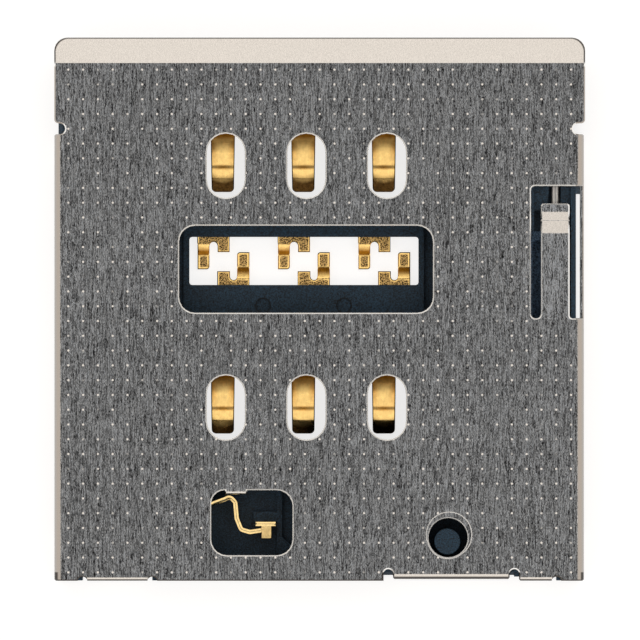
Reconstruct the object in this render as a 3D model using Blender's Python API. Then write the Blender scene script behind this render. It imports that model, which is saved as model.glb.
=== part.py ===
"""A push-push socket for a 12 x 15 mm SIM card, in metres, +Z up.

X runs across the socket, +Y points out of the card mouth, and z = 0 is the face that is soldered
to the board. The origin is under the middle of the metal shell's outline.
"""

import math

import bmesh
import bpy
from mathutils import Matrix, Vector
from mathutils.geometry import delaunay_2d_cdt

MM = 0.001

# Sheet metal
SHELL_SHEET = 0.12 * MM
SHELL_EDGE = 0.04 * MM
CONTACT_SHEET = 0.12 * MM
CONTACT_EDGE = 0.03 * MM
SWITCH_SHEET = 0.13 * MM

# Fits
SLIDE_FIT = 0.02 * MM
SIDE_FIT = 0.01 * MM
PIN_FIT = 0.015 * MM
THROUGH = 0.5 * MM
SLOPE_STEP = 0.01 * MM

# Across the socket: left wall, card bay, rib, slider's bay, right wall
CARD_WIDTH = 12.0 * MM
CARD_FIT = 0.15 * MM
LEFT_WALL = 0.235 * MM
RIB_WIDTH = 0.25 * MM
SLIDER_BAY_WIDTH = 3.52 * MM
RIGHT_WALL = 0.28 * MM
EAR_PROUD = 0.035 * MM
SHELL_LAYER = SHELL_SHEET + SIDE_FIT
CARD_BAY_WIDTH = CARD_WIDTH + CARD_FIT
HOUSING_WIDTH = LEFT_WALL + CARD_BAY_WIDTH + RIB_WIDTH + SLIDER_BAY_WIDTH + RIGHT_WALL
HALF_WIDTH = HOUSING_WIDTH / 2 + SHELL_LAYER + EAR_PROUD / 2
HOUSING_LEFT = -HALF_WIDTH + SHELL_LAYER
LEFT_WALL_IN = HOUSING_LEFT + LEFT_WALL
BAY_MIDDLE = LEFT_WALL_IN + CARD_BAY_WIDTH / 2
RIB_LEFT = LEFT_WALL_IN + CARD_BAY_WIDTH
RIB_RIGHT = RIB_LEFT + RIB_WIDTH
BAY_RIGHT = RIB_RIGHT + SLIDER_BAY_WIDTH
HOUSING_RIGHT = BAY_RIGHT + RIGHT_WALL
WALL_RIGHT = HOUSING_RIGHT + SHELL_LAYER

# Outline of the shell
REAR = -8.56 * MM
LIP_BEND = 7.737 * MM
LIP_FRONT = 8.56 * MM
LIP_ANGLE = math.radians(16)
LIP_RADIUS = 0.2 * MM
LIP_CORNER = 0.42 * MM
TOP = 1.50 * MM
SIDE_BEND = 0.24 * MM
SIDE_FOOT = 0.22 * MM
NOTCH_TOP = 5.859 * MM
NOTCH_BOTTOM = 5.518 * MM
NOTCH_LEFT = -HALF_WIDTH + 0.344 * MM
NOTCH_RIGHT = HALF_WIDTH - 0.385 * MM
EAR_ROUND = 0.12 * MM
FOOT_WIDTH = 1.1 * MM
FOOT_FRONT = 4.75 * MM
FOOT_REAR = -7.6 * MM
CATCH_WIDTH = 1.3 * MM
CATCH_PLACES = (2.0 * MM, -4.7 * MM)
CATCH_RIGHT_PLACES = (-1.9 * MM, -4.7 * MM)
CATCH_LOW = 0.45 * MM
CATCH_HIGH = 0.85 * MM
CATCH_DEPTH = 0.09 * MM

# Contacts, on the pitch of the card's pads
PITCH = 2.54 * MM
ROW_SPACING = 7.62 * MM
MIDDLE_COLUMN = BAY_MIDDLE + 1.506 * MM
ROW_CENTRE = 0.7125 * MM
SLOT_WIDTH = 1.20 * MM
SLOT_LENGTH = 2.03 * MM
STRIP_MID = 0.24 * MM
ARM_LEFT = -0.493 * MM
ARM_RIGHT = 0.297 * MM
ARM_TAPER = 0.045 * MM
ARM_TIP_ROUND = 0.14 * MM
ARM_KNEE_Z = 0.77 * MM
ARM_CREST_Z = 0.99 * MM
ARM_CURL_Z = 0.87 * MM
ARM_TIP_Z = 0.42 * MM
ARM_LEAD = 0.15 * MM
ARM_TIP_LEAD = 0.1 * MM
ARM_RADII = (0.42 * MM, 0.50 * MM, 0.22 * MM, 0.25 * MM)
TAIL_RADIUS = 0.13 * MM
UPPER_ROOT = 6.15 * MM
UPPER_KNEE = 5.27 * MM
UPPER_CREST = 4.48 * MM
UPPER_CURL = 4.15 * MM
UPPER_TIP = 3.716 * MM
LOWER_ROOT = -1.30 * MM
LOWER_KNEE = -2.32 * MM
LOWER_CREST = -3.13 * MM
LOWER_CURL = -3.48 * MM
LOWER_TIP = -3.908 * MM
ARM_OPENING = (-0.64 * MM, 0.68 * MM)
OPENING_PAST_TIP = 0.30 * MM

# Upper contacts, from their column's middle
RAIL = (-0.911 * MM, -0.760 * MM)
UPPER_BAR = (6.27 * MM, 6.62 * MM)
UPPER_STUB = (-0.265 * MM, 0.113 * MM, 1.803 * MM)
UPPER_LEG = (-0.899 * MM, -0.524 * MM)
UPPER_TAIL_TOP = 2.62 * MM
UPPER_NOTCH_TOP = 2.127 * MM
UPPER_BEND = (2.055 * MM, 1.707 * MM)
UPPER_PAD_END = 1.261 * MM

# Lower contacts, from their column's middle
LOWER_STUB = (-0.278 * MM, 0.126 * MM, 1.201 * MM)
LOWER_LEG = (0.350 * MM, 0.740 * MM)
LOWER_NOTCH_BOTTOM = 0.92 * MM
LOWER_BEND = (0.971 * MM, 1.333 * MM)
LOWER_PAD_END = 1.803 * MM
LOWER_SHOULDER = (-0.45 * MM, -0.95 * MM)
PAD_ROUND = 0.09 * MM
BEND_LEAD = 0.1 * MM
RAIL_LEAD = 0.05 * MM

# Windows in the shell
CENTRE_WINDOW = (
    MIDDLE_COLUMN - PITCH - 1.472 * MM,
    MIDDLE_COLUMN + PITCH + 1.450 * MM,
    -0.113 * MM,
    2.632 * MM,
)
SWITCH_WINDOW = (BAY_MIDDLE - 1.495 * MM, BAY_MIDDLE + 1.068 * MM, -7.756 * MM, -5.704 * MM)
WINDOW_CORNER = 0.5 * MM
TAB_LEFT = SWITCH_WINDOW[0] + 0.435 * MM
TAB_RIGHT = TAB_LEFT + 0.694 * MM
TAB_LENGTH = 0.42 * MM
TAB_BEND = 0.13 * MM
POST = (RIB_LEFT - 0.129 * MM, -7.324 * MM)
POST_RADIUS = 0.41 * MM
POST_HOLE = (POST[0] + 0.026 * MM, POST[1] + 0.124 * MM)
POST_HOLE_RADIUS = POST_RADIUS + 0.21 * MM
SUNK_RING = (POST_HOLE[0] + 0.031 * MM, POST_HOLE[1] + 0.090 * MM)
SUNK_RING_RADIUS = POST_HOLE_RADIUS + 0.115 * MM
SUNK_DEPTH = 0.03 * MM

# Leaf that holds the cam pin down
LEAF_CUT = (BAY_RIGHT - 1.261 * MM, -0.290 * MM, 3.883 * MM)
LEAF_CUT_ROUND = 0.12 * MM
LEAF_LEFT = LEAF_CUT[0] + 0.315 * MM
LEAF_RIGHT = BAY_RIGHT - 0.044 * MM
LEAF_TIP = 3.334 * MM
LEAF_TIP_ROUND = 0.09 * MM
LEAF_BEND = 2.386 * MM
LEAF_CREASE = 2.799 * MM
LEAF_RISE_END = 3.079 * MM
LEAF_RISE = 0.10 * MM
LEAF_RADIUS = 0.12 * MM
WALL_CUT_TOP = 1.15 * MM

# Rear tabs of the shell: left end, right end, outer face, outer bend radius
LEFT_TAB = (-HALF_WIDTH + 1.037 * MM, -HALF_WIDTH + 2.938 * MM, REAR, 0.125 * MM)
BIG_TAB = (RIB_RIGHT - 2.088 * MM, BAY_RIGHT - 1.934 * MM, REAR + 0.05 * MM, 0.205 * MM)
SMALL_TAB = (BIG_TAB[1] + 0.300 * MM, BAY_RIGHT - 0.605 * MM, REAR, 0.135 * MM)
REAR_TABS = (LEFT_TAB, BIG_TAB, SMALL_TAB)
RELIEF_HALF = 0.15 * MM
SHALLOW_RELIEF = 0.13 * MM
DEEP_RELIEF = 0.37 * MM
REAR_TAB_FOOT = 0.35 * MM

# Housing
FLOOR = 0.30 * MM
PANEL_TOP = 0.40 * MM
TRACK_FLOOR = 0.20 * MM
HOUSING_FRONT = 7.90 * MM
HOUSING_REAR = REAR + SIDE_FIT
REAR_WALL_IN = HOUSING_REAR + 0.36 * MM
PANEL_LEFT = BAY_MIDDLE - 2.375 * MM
PUSHER_TRACK = 0.863 * MM
PANEL_RIGHT = RIB_LEFT - PUSHER_TRACK
RELIEF_RIGHT = HOUSING_RIGHT - 0.123 * MM
RELIEF_FRONT = 3.637 * MM
NOTCH_RELIEF = NOTCH_RIGHT - 0.025 * MM
NOTCH_GAP = 0.03 * MM
PILLAR_LEFT = LEAF_CUT[0] + 0.095 * MM
PILLAR_REAR = 3.11 * MM
PILLAR_TOP = 1.22 * MM
STEP_TOP = 0.92 * MM
BLOCK_REAR = 2.475 * MM
CENTRE_OPENING = (
    MIDDLE_COLUMN - PITCH - 1.157 * MM,
    MIDDLE_COLUMN + PITCH + 0.999 * MM,
    0.766 * MM,
    2.282 * MM,
)
OPENING_CORNER = 0.08 * MM
EJECTOR_MARKS = (MIDDLE_COLUMN - 1.371 * MM, MIDDLE_COLUMN + 1.185 * MM)
EJECTOR_MARK_Y = 0.117 * MM
EJECTOR_MARK_RADIUS = 0.23 * MM
EJECTOR_MARK_DEPTH = 0.05 * MM
LEAD_IN = 0.45 * MM
LEAD_IN_DROP = 0.18 * MM
CORE_WALL = 0.45 * MM
CORE_DEPTH = 0.85 * MM
POST_TOP = 1.42 * MM
POST_EDGE = 0.06 * MM

# Slider, at rest against the front stop
SLIDER_FRONT = 2.46 * MM
SLIDER_REAR = -3.00 * MM
SLIDER_TOP = 1.355 * MM
DECK_TOP = 0.95 * MM
DECK_LEFT = LEAF_CUT[0] - 0.059 * MM
STROKE = 2.60 * MM
LOCKED = 2.10 * MM
PUSHER_LEFT = POST[0] - 1.071 * MM
PUSHER_RIGHT = RIB_RIGHT + 0.68 * MM
PUSHER_FRONT = -4.05 * MM
PUSHER_DEPTH = 1.00 * MM
PUSHER_LOW = 0.42 * MM
POST_RELIEF = 0.04 * MM
SPIGOT_RADIUS = 0.25 * MM
SPIGOT_LENGTH = 0.60 * MM

# Cam pin and the track that it follows
PIN_RADIUS = 0.135 * MM
PIN_X = BAY_RIGHT - 0.49 * MM
PIN_Z = 1.10 * MM
PIN_BEND = 0.2 * MM
PIVOT_Y = 4.25 * MM
FOLLOWER_Y = -0.60 * MM
PIVOT_END = 0.42 * MM
FOLLOWER_END = 0.56 * MM
RETURN_OFFSET = 0.56 * MM
TRACK_HIGH_FLOOR = 0.53 * MM
TRACK_LOW_FLOOR = 0.48 * MM
GROOVE_LEFT = PIN_X - 0.26 * MM
GROOVE_RIGHT = PIN_X + 0.17 * MM
GROOVE_FRONT = 0.13 * MM

# Coil spring
COIL_X = RIB_RIGHT + 1.30 * MM
COIL_Z = 0.84 * MM
COIL_RADIUS = 0.41 * MM
COIL_WIRE = 0.07 * MM
COIL_TURNS = 13

# Card detect switch, in plan
SWITCH_LOW = 0.44 * MM
SWITCH_HIGH = 0.84 * MM
POCKET_FLOOR = 0.20 * MM
SWITCH_POCKET = (BAY_MIDDLE - 4.025 * MM, BAY_MIDDLE + 0.576 * MM, -7.95 * MM, -5.50 * MM)
SWITCH_PANEL = (BAY_MIDDLE - 0.162 * MM, -6.394 * MM)
SWITCH_RIB = 0.161 * MM
SIDE_POCKET = (0.45 * MM, -7.19 * MM)
SIDE_POCKET_SLANT = 0.30 * MM
SWITCH_ANCHOR = (SWITCH_POCKET[0], SWITCH_POCKET[0] + 0.90 * MM, -7.35 * MM, -6.75 * MM)
ANCHOR_TOP = 0.80 * MM
SPRING_BLADE = (
    (BAY_MIDDLE - 3.825 * MM, -6.95 * MM),
    (BAY_MIDDLE - 3.025 * MM, -6.95 * MM),
    (BAY_MIDDLE - 2.675 * MM, -6.76 * MM),
    (BAY_MIDDLE - 1.416 * MM, -6.127 * MM),
    (BAY_MIDDLE - 1.044 * MM, -5.990 * MM),
    (BAY_MIDDLE - 0.915 * MM, -5.905 * MM),
    (BAY_MIDDLE - 0.740 * MM, -6.090 * MM),
    (BAY_MIDDLE - 0.695 * MM, -6.600 * MM),
    (BAY_MIDDLE - 0.555 * MM, -6.950 * MM),
    (BAY_MIDDLE - 0.281 * MM, -7.031 * MM),
    (BAY_MIDDLE + 0.091 * MM, -6.975 * MM),
)
BLADE_ROUNDS = (0.14 * MM,) * (len(SPRING_BLADE) - 2)
BLADE_HEAD = (SPRING_BLADE[-1][0], SPRING_BLADE[-1][0] + 0.302 * MM, -7.223 * MM, -6.845 * MM)
ANCHOR_LEG = (SWITCH_ANCHOR[0] + 0.25 * MM, SWITCH_ANCHOR[0] + 0.70 * MM)
BAR_LEFT = BAY_MIDDLE - 0.098 * MM
BAR_FACE = BLADE_HEAD[3] + 0.005 * MM
BAR_LEG = (BAY_MIDDLE + 0.235 * MM, BAY_MIDDLE + 0.535 * MM)

PLATE_UNDER = TOP - SHELL_SHEET
MID_SHEET = TOP - SHELL_SHEET / 2
LEFT_BEND_START = -HALF_WIDTH + SIDE_BEND
RIGHT_BEND_START = WALL_RIGHT - SIDE_BEND
UPPER_ROW = ROW_CENTRE + ROW_SPACING / 2
LOWER_ROW = ROW_CENTRE - ROW_SPACING / 2
COLUMNS = (MIDDLE_COLUMN - PITCH, MIDDLE_COLUMN, MIDDLE_COLUMN + PITCH)
PIN_TOP = PIN_Z + PIN_RADIUS
CREASE_MID = PIN_TOP + PIN_FIT + SHELL_SHEET / 2
RETURN_X = PIN_X - RETURN_OFFSET
TRACK_HALF = PIN_RADIUS + SLIDE_FIT
PIN_ARM = PIVOT_Y - FOLLOWER_Y
SWING_RISE = PIN_ARM - math.sqrt(PIN_ARM**2 - RETURN_OFFSET**2)
PAD_MID = CONTACT_SHEET / 2


def arc(cx, cy, radius, start, end, steps):
    """Points on a round stretch, with angles in degrees."""
    turns = [math.radians(start + (end - start) * i / steps) for i in range(steps + 1)]
    return [(cx + radius * math.cos(a), cy + radius * math.sin(a)) for a in turns]


def circle(cx, cy, radius, steps=24):
    return arc(cx, cy, radius, 0, 360, steps)[:-1]


def rectangle(x0, x1, y0, y1):
    return [(x0, y0), (x1, y0), (x1, y1), (x0, y1)]


def rounded_corner(before, corner, after, radius, steps):
    """The arc that replaces one corner of an outline."""
    p = Vector(corner)
    u = (Vector(before) - p).normalized()
    w = (Vector(after) - p).normalized()
    half = u.angle(w) / 2
    reach = radius / math.tan(half)
    centre = p + (u + w).normalized() * (radius / math.sin(half))
    a = p + u * reach - centre
    b = p + w * reach - centre
    turn = a.angle(b)
    points = []
    for i in range(steps + 1):
        share = turn * i / steps
        near = math.sin(turn - share) / math.sin(turn)
        far = math.sin(share) / math.sin(turn)
        points.append(tuple(centre + a * near + b * far))
    return points


def rounded(corners, steps=5):
    """A closed outline from corners of (x, y) or (x, y, radius)."""
    outline = []
    for i, corner in enumerate(corners):
        if len(corner) == 2:
            outline.append(corner)
            continue
        before = corners[i - 1][:2]
        after = corners[(i + 1) % len(corners)][:2]
        outline += rounded_corner(before, corner[:2], after, corner[2], steps)
    return outline


def rounded_rectangle(box, radius, steps=5):
    return rounded([(x, y, radius) for x, y in rectangle(*box)], steps)


def obround(cx, cy, width, length, steps=10):
    """A slot that is long in Y."""
    radius = width / 2
    reach = length / 2 - radius
    return arc(cx, cy + reach, radius, 0, 180, steps) + arc(cx, cy - reach, radius, 180, 360, steps)


def rounded_path(points, radii, steps=4):
    """An open path whose inner corners are rounded, each to its radius."""
    path = [points[0]]
    for before, corner, after, radius in zip(points, points[1:], points[2:], radii):
        path += rounded_corner(before, corner, after, radius, steps)
    return path + [points[-1]]


def inside(point, outline):
    x, y = point
    found = False
    for (x0, y0), (x1, y1) in zip(outline, outline[1:] + outline[:1]):
        if (y0 > y) != (y1 > y) and x < x0 + (y - y0) * (x1 - x0) / (y1 - y0):
            found = not found
    return found


def material(name, colour, roughness, metallic):
    made = bpy.data.materials.new(name)
    made.use_nodes = True
    shader = made.node_tree.nodes["Principled BSDF"]
    shader.inputs["Base Color"].default_value = (*colour, 1)
    shader.inputs["Roughness"].default_value = roughness
    shader.inputs["Metallic"].default_value = metallic
    return made


def as_object(name, bm, look=None):
    bmesh.ops.recalc_face_normals(bm, faces=bm.faces)
    mesh = bpy.data.meshes.new(name)
    bm.to_mesh(mesh)
    bm.free()
    obj = bpy.data.objects.new(name, mesh)
    bpy.context.scene.collection.objects.link(obj)
    if look:
        mesh.materials.append(look)
    return obj


def prism(outline, low, high, name="cutter", look=None, axis="Z"):
    """An outline drawn out along an axis, from low to high."""
    place = {
        "Z": lambda u, v, w: (u, v, w),
        "Y": lambda u, v, w: (u, w, v),
        "X": lambda u, v, w: (w, u, v),
    }[axis]
    bm = bmesh.new()
    lower = [bm.verts.new(place(u, v, low)) for u, v in outline]
    upper = [bm.verts.new(place(u, v, high)) for u, v in outline]
    bm.faces.new(lower[::-1])
    bm.faces.new(upper)
    for i in range(len(outline)):
        j = (i + 1) % len(outline)
        bm.faces.new((lower[i], lower[j], upper[j], upper[i]))
    return as_object(name, bm, look)


def cone(place, low_radius, high_radius, low, high, steps=32):
    """A round tapered cutter or boss that stands up from low to high."""
    bm = bmesh.new()
    rings = [
        [bm.verts.new((x, y, z)) for x, y in circle(*place, radius, steps)]
        for radius, z in ((low_radius, low), (high_radius, high))
    ]
    bm.faces.new(rings[0][::-1])
    bm.faces.new(rings[1])
    for i in range(steps):
        j = (i + 1) % steps
        bm.faces.new((rings[0][i], rings[0][j], rings[1][j], rings[1][i]))
    return as_object("cutter", bm)


def block(x0, x1, y0, y1, z0, z1):
    return prism(rectangle(x0, x1, y0, y1), z0, z1)


def combine(obj, tools, operation="DIFFERENCE"):
    """Cuts the tools from the object, or joins them to it, one after the other."""
    for tool in tools:
        boolean = obj.modifiers.new("combine", "BOOLEAN")
        boolean.operation = operation
        boolean.solver = "EXACT"
        boolean.object = tool
        evaluated = obj.evaluated_get(bpy.context.evaluated_depsgraph_get())
        mesh = bpy.data.meshes.new_from_object(evaluated)
        obj.modifiers.clear()
        old = obj.data
        obj.data = mesh
        mesh.name = old.name
        bpy.data.meshes.remove(old)
        bpy.data.objects.remove(tool)
    return obj


def stamped(name, outline, holes, creases, fold, thickness, edge, look):
    """A sheet cut to an outline in the flat and folded point by point.

    fold(u, v) gives the place on the middle surface and the sheet's upward normal. The cut edges
    are broken by `edge` on the upper side. Creases are the lines that the folds bend along.
    """
    points = []
    lines = []
    for loop in [outline, *holes]:
        start = len(points)
        points += [Vector(p) / MM for p in loop]
        lines += [(start + i, start + (i + 1) % len(loop)) for i in range(len(loop))]
    for a, b in creases:
        lines.append((len(points), len(points) + 1))
        points += [Vector(a) / MM, Vector(b) / MM]
    flat, _, faces, *_ = delaunay_2d_cdt(points, lines, [], 0, 1e-4)
    flat = [v * MM for v in flat]
    kept = []
    for face in faces:
        middle = sum((flat[i] for i in face), Vector((0, 0))) / 3
        if inside(middle, outline) and not any(inside(middle, hole) for hole in holes):
            kept.append(tuple(face))
    ahead = {}
    for face in kept:
        for i, j in zip(face, face[1:] + face[:1]):
            ahead[i, j] = True
    rim = [(i, j) for i, j in ahead if (j, i) not in ahead]
    follows = dict(rim)
    leads = {j: i for i, j in rim}
    bm = bmesh.new()

    def add(place, height):
        middle, normal = fold(*place)
        return bm.verts.new(Vector(middle) + Vector(normal) * height)

    used = sorted({i for face in kept for i in face})
    upper, lower, brow = {}, {}, {}
    for i in used:
        place = flat[i]
        lower[i] = add(place, -thickness / 2)
        if i in follows and edge:
            before = (place - flat[leads[i]]).normalized()
            after = (flat[follows[i]] - place).normalized()
            inward = Vector((-before.y - after.y, before.x + after.x)) / (1 + before.dot(after))
            upper[i] = add(place + inward * edge, thickness / 2)
            brow[i] = add(place, thickness / 2 - edge)
        else:
            upper[i] = add(place, thickness / 2)
            brow[i] = upper[i]
    for a, b, c in kept:
        bm.faces.new((upper[a], upper[b], upper[c]))
        bm.faces.new((lower[c], lower[b], lower[a]))
    for i, j in rim:
        bm.faces.new((lower[i], lower[j], brow[j], brow[i]))
        if edge:
            bm.faces.new((brow[i], brow[j], upper[j], upper[i]))
    return as_object(name, bm, look)


def bend(distance, radius, angle):
    """How far out and how far down a flap goes past its bend line, and its slope there."""
    length = radius * angle
    turn = min(distance / radius, angle)
    rest = max(distance - length, 0)
    out = radius * math.sin(turn) + rest * math.cos(turn)
    down = radius * (1 - math.cos(turn)) + rest * math.sin(turn)
    return out, down, turn


class Profile:
    """A sheet's height along Y, from corners of (y, z) with y falling, rounded where it bends."""

    def __init__(self, corners, radii, steps=4):
        self.path = sorted(rounded_path(corners, radii, steps))

    def height(self, y):
        for (y0, z0), (y1, z1) in zip(self.path, self.path[1:]):
            if y <= y1:
                return z0 + (z1 - z0) * (y - y0) / (y1 - y0)
        return self.path[-1][1]

    def point(self, x, y):
        low = max(y - SLOPE_STEP, self.path[0][0])
        high = min(y + SLOPE_STEP, self.path[-1][0])
        slope = (self.height(high) - self.height(low)) / (high - low) if high > low else 0
        return (x, y, self.height(y)), Vector((0, -slope, 1)).normalized()

    def creases(self, x0, x1):
        return [((x0, y), (x1, y)) for y, _ in self.path[1:-1]]


def tube(path, radius, sides, name, look):
    """A round wire along a path, with flat ends."""
    bm = bmesh.new()
    path = [Vector(p) for p in path]
    across = (path[1] - path[0]).orthogonal().normalized()
    rings = []
    for i, place in enumerate(path):
        before = path[max(i - 1, 0)]
        after = path[min(i + 1, len(path) - 1)]
        along = (after - before).normalized()
        across = (across - along * across.dot(along)).normalized()
        up = along.cross(across)
        ring = []
        for k in range(sides):
            a = 2 * math.pi * k / sides
            ring.append(bm.verts.new(place + radius * (across * math.cos(a) + up * math.sin(a))))
        rings.append(ring)
    bm.faces.new(rings[0][::-1])
    bm.faces.new(rings[-1])
    for ring, beyond in zip(rings, rings[1:]):
        for k in range(sides):
            m = (k + 1) % sides
            bm.faces.new((ring[k], ring[m], beyond[m], beyond[k]))
    obj = as_object(name, bm, look)
    obj.data.shade_smooth()
    obj.data.set_sharp_from_angle(angle=math.radians(40))
    return obj


def origin_at(obj, place):
    """Moves the object's origin to a point without moving its mesh."""
    obj.data.transform(Matrix.Translation(-Vector(place)))
    obj.location = place


# Shell

MID_BEND = SIDE_BEND - SHELL_SHEET / 2
SIDE_ARC = MID_BEND * math.pi / 2
LIP_REACH = LIP_FRONT - LIP_BEND - (LIP_RADIUS + SHELL_SHEET / 2) * math.sin(LIP_ANGLE)
LIP_LENGTH = LIP_RADIUS * LIP_ANGLE + LIP_REACH / math.cos(LIP_ANGLE)
NOTCH_MIDDLE = (NOTCH_TOP + NOTCH_BOTTOM) / 2
LEAF_PROFILE = Profile(
    [
        (LEAF_TIP + THROUGH, CREASE_MID + LEAF_RISE),
        (LEAF_RISE_END, CREASE_MID + LEAF_RISE),
        (LEAF_CREASE, CREASE_MID),
        (LEAF_BEND, MID_SHEET),
        (LEAF_CUT[1], MID_SHEET),
    ],
    (LEAF_RADIUS, LEAF_RADIUS, LEAF_RADIUS),
    2,
)


def wall_flat(start, side, z):
    """Where the height z of a side wall lies in the flat."""
    return start + side * (SIDE_ARC + TOP - SIDE_BEND - z)


def rear_bend_start(tab):
    return tab[2] + tab[3]


def fold_shell(u, v):
    if v > LIP_BEND:
        out, up, turn = bend(v - LIP_BEND, LIP_RADIUS, LIP_ANGLE)
        return (u, LIP_BEND + out, MID_SHEET + up), (0, -math.sin(turn), math.cos(turn))
    if v < NOTCH_MIDDLE and u < LEFT_BEND_START:
        out, down, turn = bend(LEFT_BEND_START - u, MID_BEND, math.pi / 2)
        return (LEFT_BEND_START - out, v, MID_SHEET - down), (-math.sin(turn), 0, math.cos(turn))
    if v < NOTCH_MIDDLE and u > RIGHT_BEND_START:
        out, down, turn = bend(u - RIGHT_BEND_START, MID_BEND, math.pi / 2)
        return (RIGHT_BEND_START + out, v, MID_SHEET - down), (math.sin(turn), 0, math.cos(turn))
    for tab in REAR_TABS:
        past = rear_bend_start(tab) - v
        if past > 0 and tab[0] - SIDE_FIT < u < tab[1] + SIDE_FIT:
            out, down, turn = bend(past, tab[3] - SHELL_SHEET / 2, math.pi / 2)
            return (u, v + past - out, MID_SHEET - down), (0, -math.sin(turn), math.cos(turn))
    past = SWITCH_WINDOW[3] - v
    if 0 < past < TAB_LENGTH + SIDE_FIT and TAB_LEFT - SIDE_FIT < u < TAB_RIGHT + SIDE_FIT:
        out, down, turn = bend(past, TAB_BEND - SHELL_SHEET / 2, math.pi / 2)
        return (u, v + past - out, MID_SHEET - down), (0, -math.sin(turn), math.cos(turn))
    if LEAF_CUT[1] < v < LEAF_TIP + SIDE_FIT and LEAF_LEFT - SIDE_FIT < u < LEAF_RIGHT + SIDE_FIT:
        return LEAF_PROFILE.point(u, v)
    return (u, v, MID_SHEET), (0, 0, 1)


def side_edge(side, start, notch):
    """One side of the shell in the flat, from the front of the ear to the rear edge."""
    ear = side * HALF_WIDTH
    bottom = wall_flat(start, side, SIDE_FOOT)
    foot = wall_flat(start, side, 0)
    radius = (NOTCH_TOP - NOTCH_BOTTOM) / 2
    edge = [(ear, LIP_BEND)]
    edge += rounded_corner(edge[0], (ear, NOTCH_TOP), (notch, NOTCH_TOP), EAR_ROUND, 4)
    edge += arc(notch + side * radius, NOTCH_MIDDLE, radius, 90, 90 + side * 180, 8)
    edge.append((bottom, NOTCH_BOTTOM))
    for centre in (FOOT_FRONT, FOOT_REAR):
        top = centre + FOOT_WIDTH / 2
        low = centre - FOOT_WIDTH / 2
        edge += [(bottom, top), (foot, top), (foot, low), (bottom, low)]
    return edge + [(bottom, REAR)]


def relief(x, depth):
    """A round-topped cut in the rear edge, from left to right."""
    rise = min(RELIEF_HALF, depth)
    turns = [math.pi * (1 - i / 8) for i in range(9)]
    return [
        (x + RELIEF_HALF * math.cos(a), REAR + depth - rise + rise * math.sin(a)) for a in turns
    ]


def tab_end(tab):
    """The two lower corners of a rear tab in the flat."""
    left, right, _, radius = tab
    straight = TOP - radius - REAR_TAB_FOOT
    end = rear_bend_start(tab) - (radius - SHELL_SHEET / 2) * math.pi / 2 - straight
    return [(left, end), (right, end)]


def rear_edge():
    """The rear of the shell in the flat, from left to right."""
    edge = relief(LEFT_TAB[0] - RELIEF_HALF, SHALLOW_RELIEF)
    edge += tab_end(LEFT_TAB)
    edge += relief(LEFT_TAB[1] + RELIEF_HALF, SHALLOW_RELIEF)
    edge.append((BIG_TAB[0] - 2 * RELIEF_HALF, REAR))
    edge += relief(BIG_TAB[0] - RELIEF_HALF, DEEP_RELIEF)
    edge += tab_end(BIG_TAB)
    edge += relief(BIG_TAB[1] + RELIEF_HALF, DEEP_RELIEF)
    edge += tab_end(SMALL_TAB)
    return edge + relief(SMALL_TAB[1] + RELIEF_HALF, SHALLOW_RELIEF)


def shell_outline():
    lip_end = LIP_BEND + LIP_LENGTH
    lip = arc(HALF_WIDTH - LIP_CORNER, lip_end - LIP_CORNER, LIP_CORNER, 90, 0, 6)
    outline = [(-x, y) for x, y in lip]
    outline += side_edge(-1, LEFT_BEND_START, NOTCH_LEFT)
    outline += rear_edge()
    outline += side_edge(1, RIGHT_BEND_START, NOTCH_RIGHT)[::-1]
    outline += lip[::-1]
    return outline


def shell_holes():
    holes = []
    for x in COLUMNS:
        for y in (UPPER_ROW, LOWER_ROW):
            holes.append(obround(x, y, SLOT_WIDTH, SLOT_LENGTH))
    holes.append(rounded_rectangle(CENTRE_WINDOW, WINDOW_CORNER))
    left, right, low, high = SWITCH_WINDOW
    holes.append(
        rounded(
            [
                (left, low, WINDOW_CORNER),
                (right, low, WINDOW_CORNER),
                (right, high, WINDOW_CORNER),
                (TAB_RIGHT, high),
                (TAB_RIGHT, high - TAB_LENGTH),
                (TAB_LEFT, high - TAB_LENGTH),
                (TAB_LEFT, high),
                (left, high, TAB_LEFT - left - SIDE_FIT),
            ]
        )
    )
    holes.append(circle(*POST_HOLE, POST_HOLE_RADIUS, 32))
    left, low, high = LEAF_CUT
    right = wall_flat(RIGHT_BEND_START, 1, WALL_CUT_TOP)
    slot_round = (LEAF_LEFT - left) / 2 - SIDE_FIT
    holes.append(
        rounded(
            [
                (left, high, LEAF_CUT_ROUND),
                (left, low, slot_round),
                (LEAF_LEFT, low, slot_round),
                (LEAF_LEFT, LEAF_TIP, LEAF_TIP_ROUND),
                (LEAF_RIGHT, LEAF_TIP, LEAF_TIP_ROUND),
                (LEAF_RIGHT, low, LEAF_TIP_ROUND),
                (right, low),
                (right, high),
            ],
            4,
        )
    )
    for side, start, places in (
        (-1, LEFT_BEND_START, CATCH_PLACES),
        (1, RIGHT_BEND_START, CATCH_RIGHT_PLACES),
    ):
        ends = (wall_flat(start, side, CATCH_HIGH), wall_flat(start, side, CATCH_LOW))
        for y in places:
            half = CATCH_WIDTH / 2
            holes.append(rectangle(min(ends), max(ends), y - half, y + half))
    return holes


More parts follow.
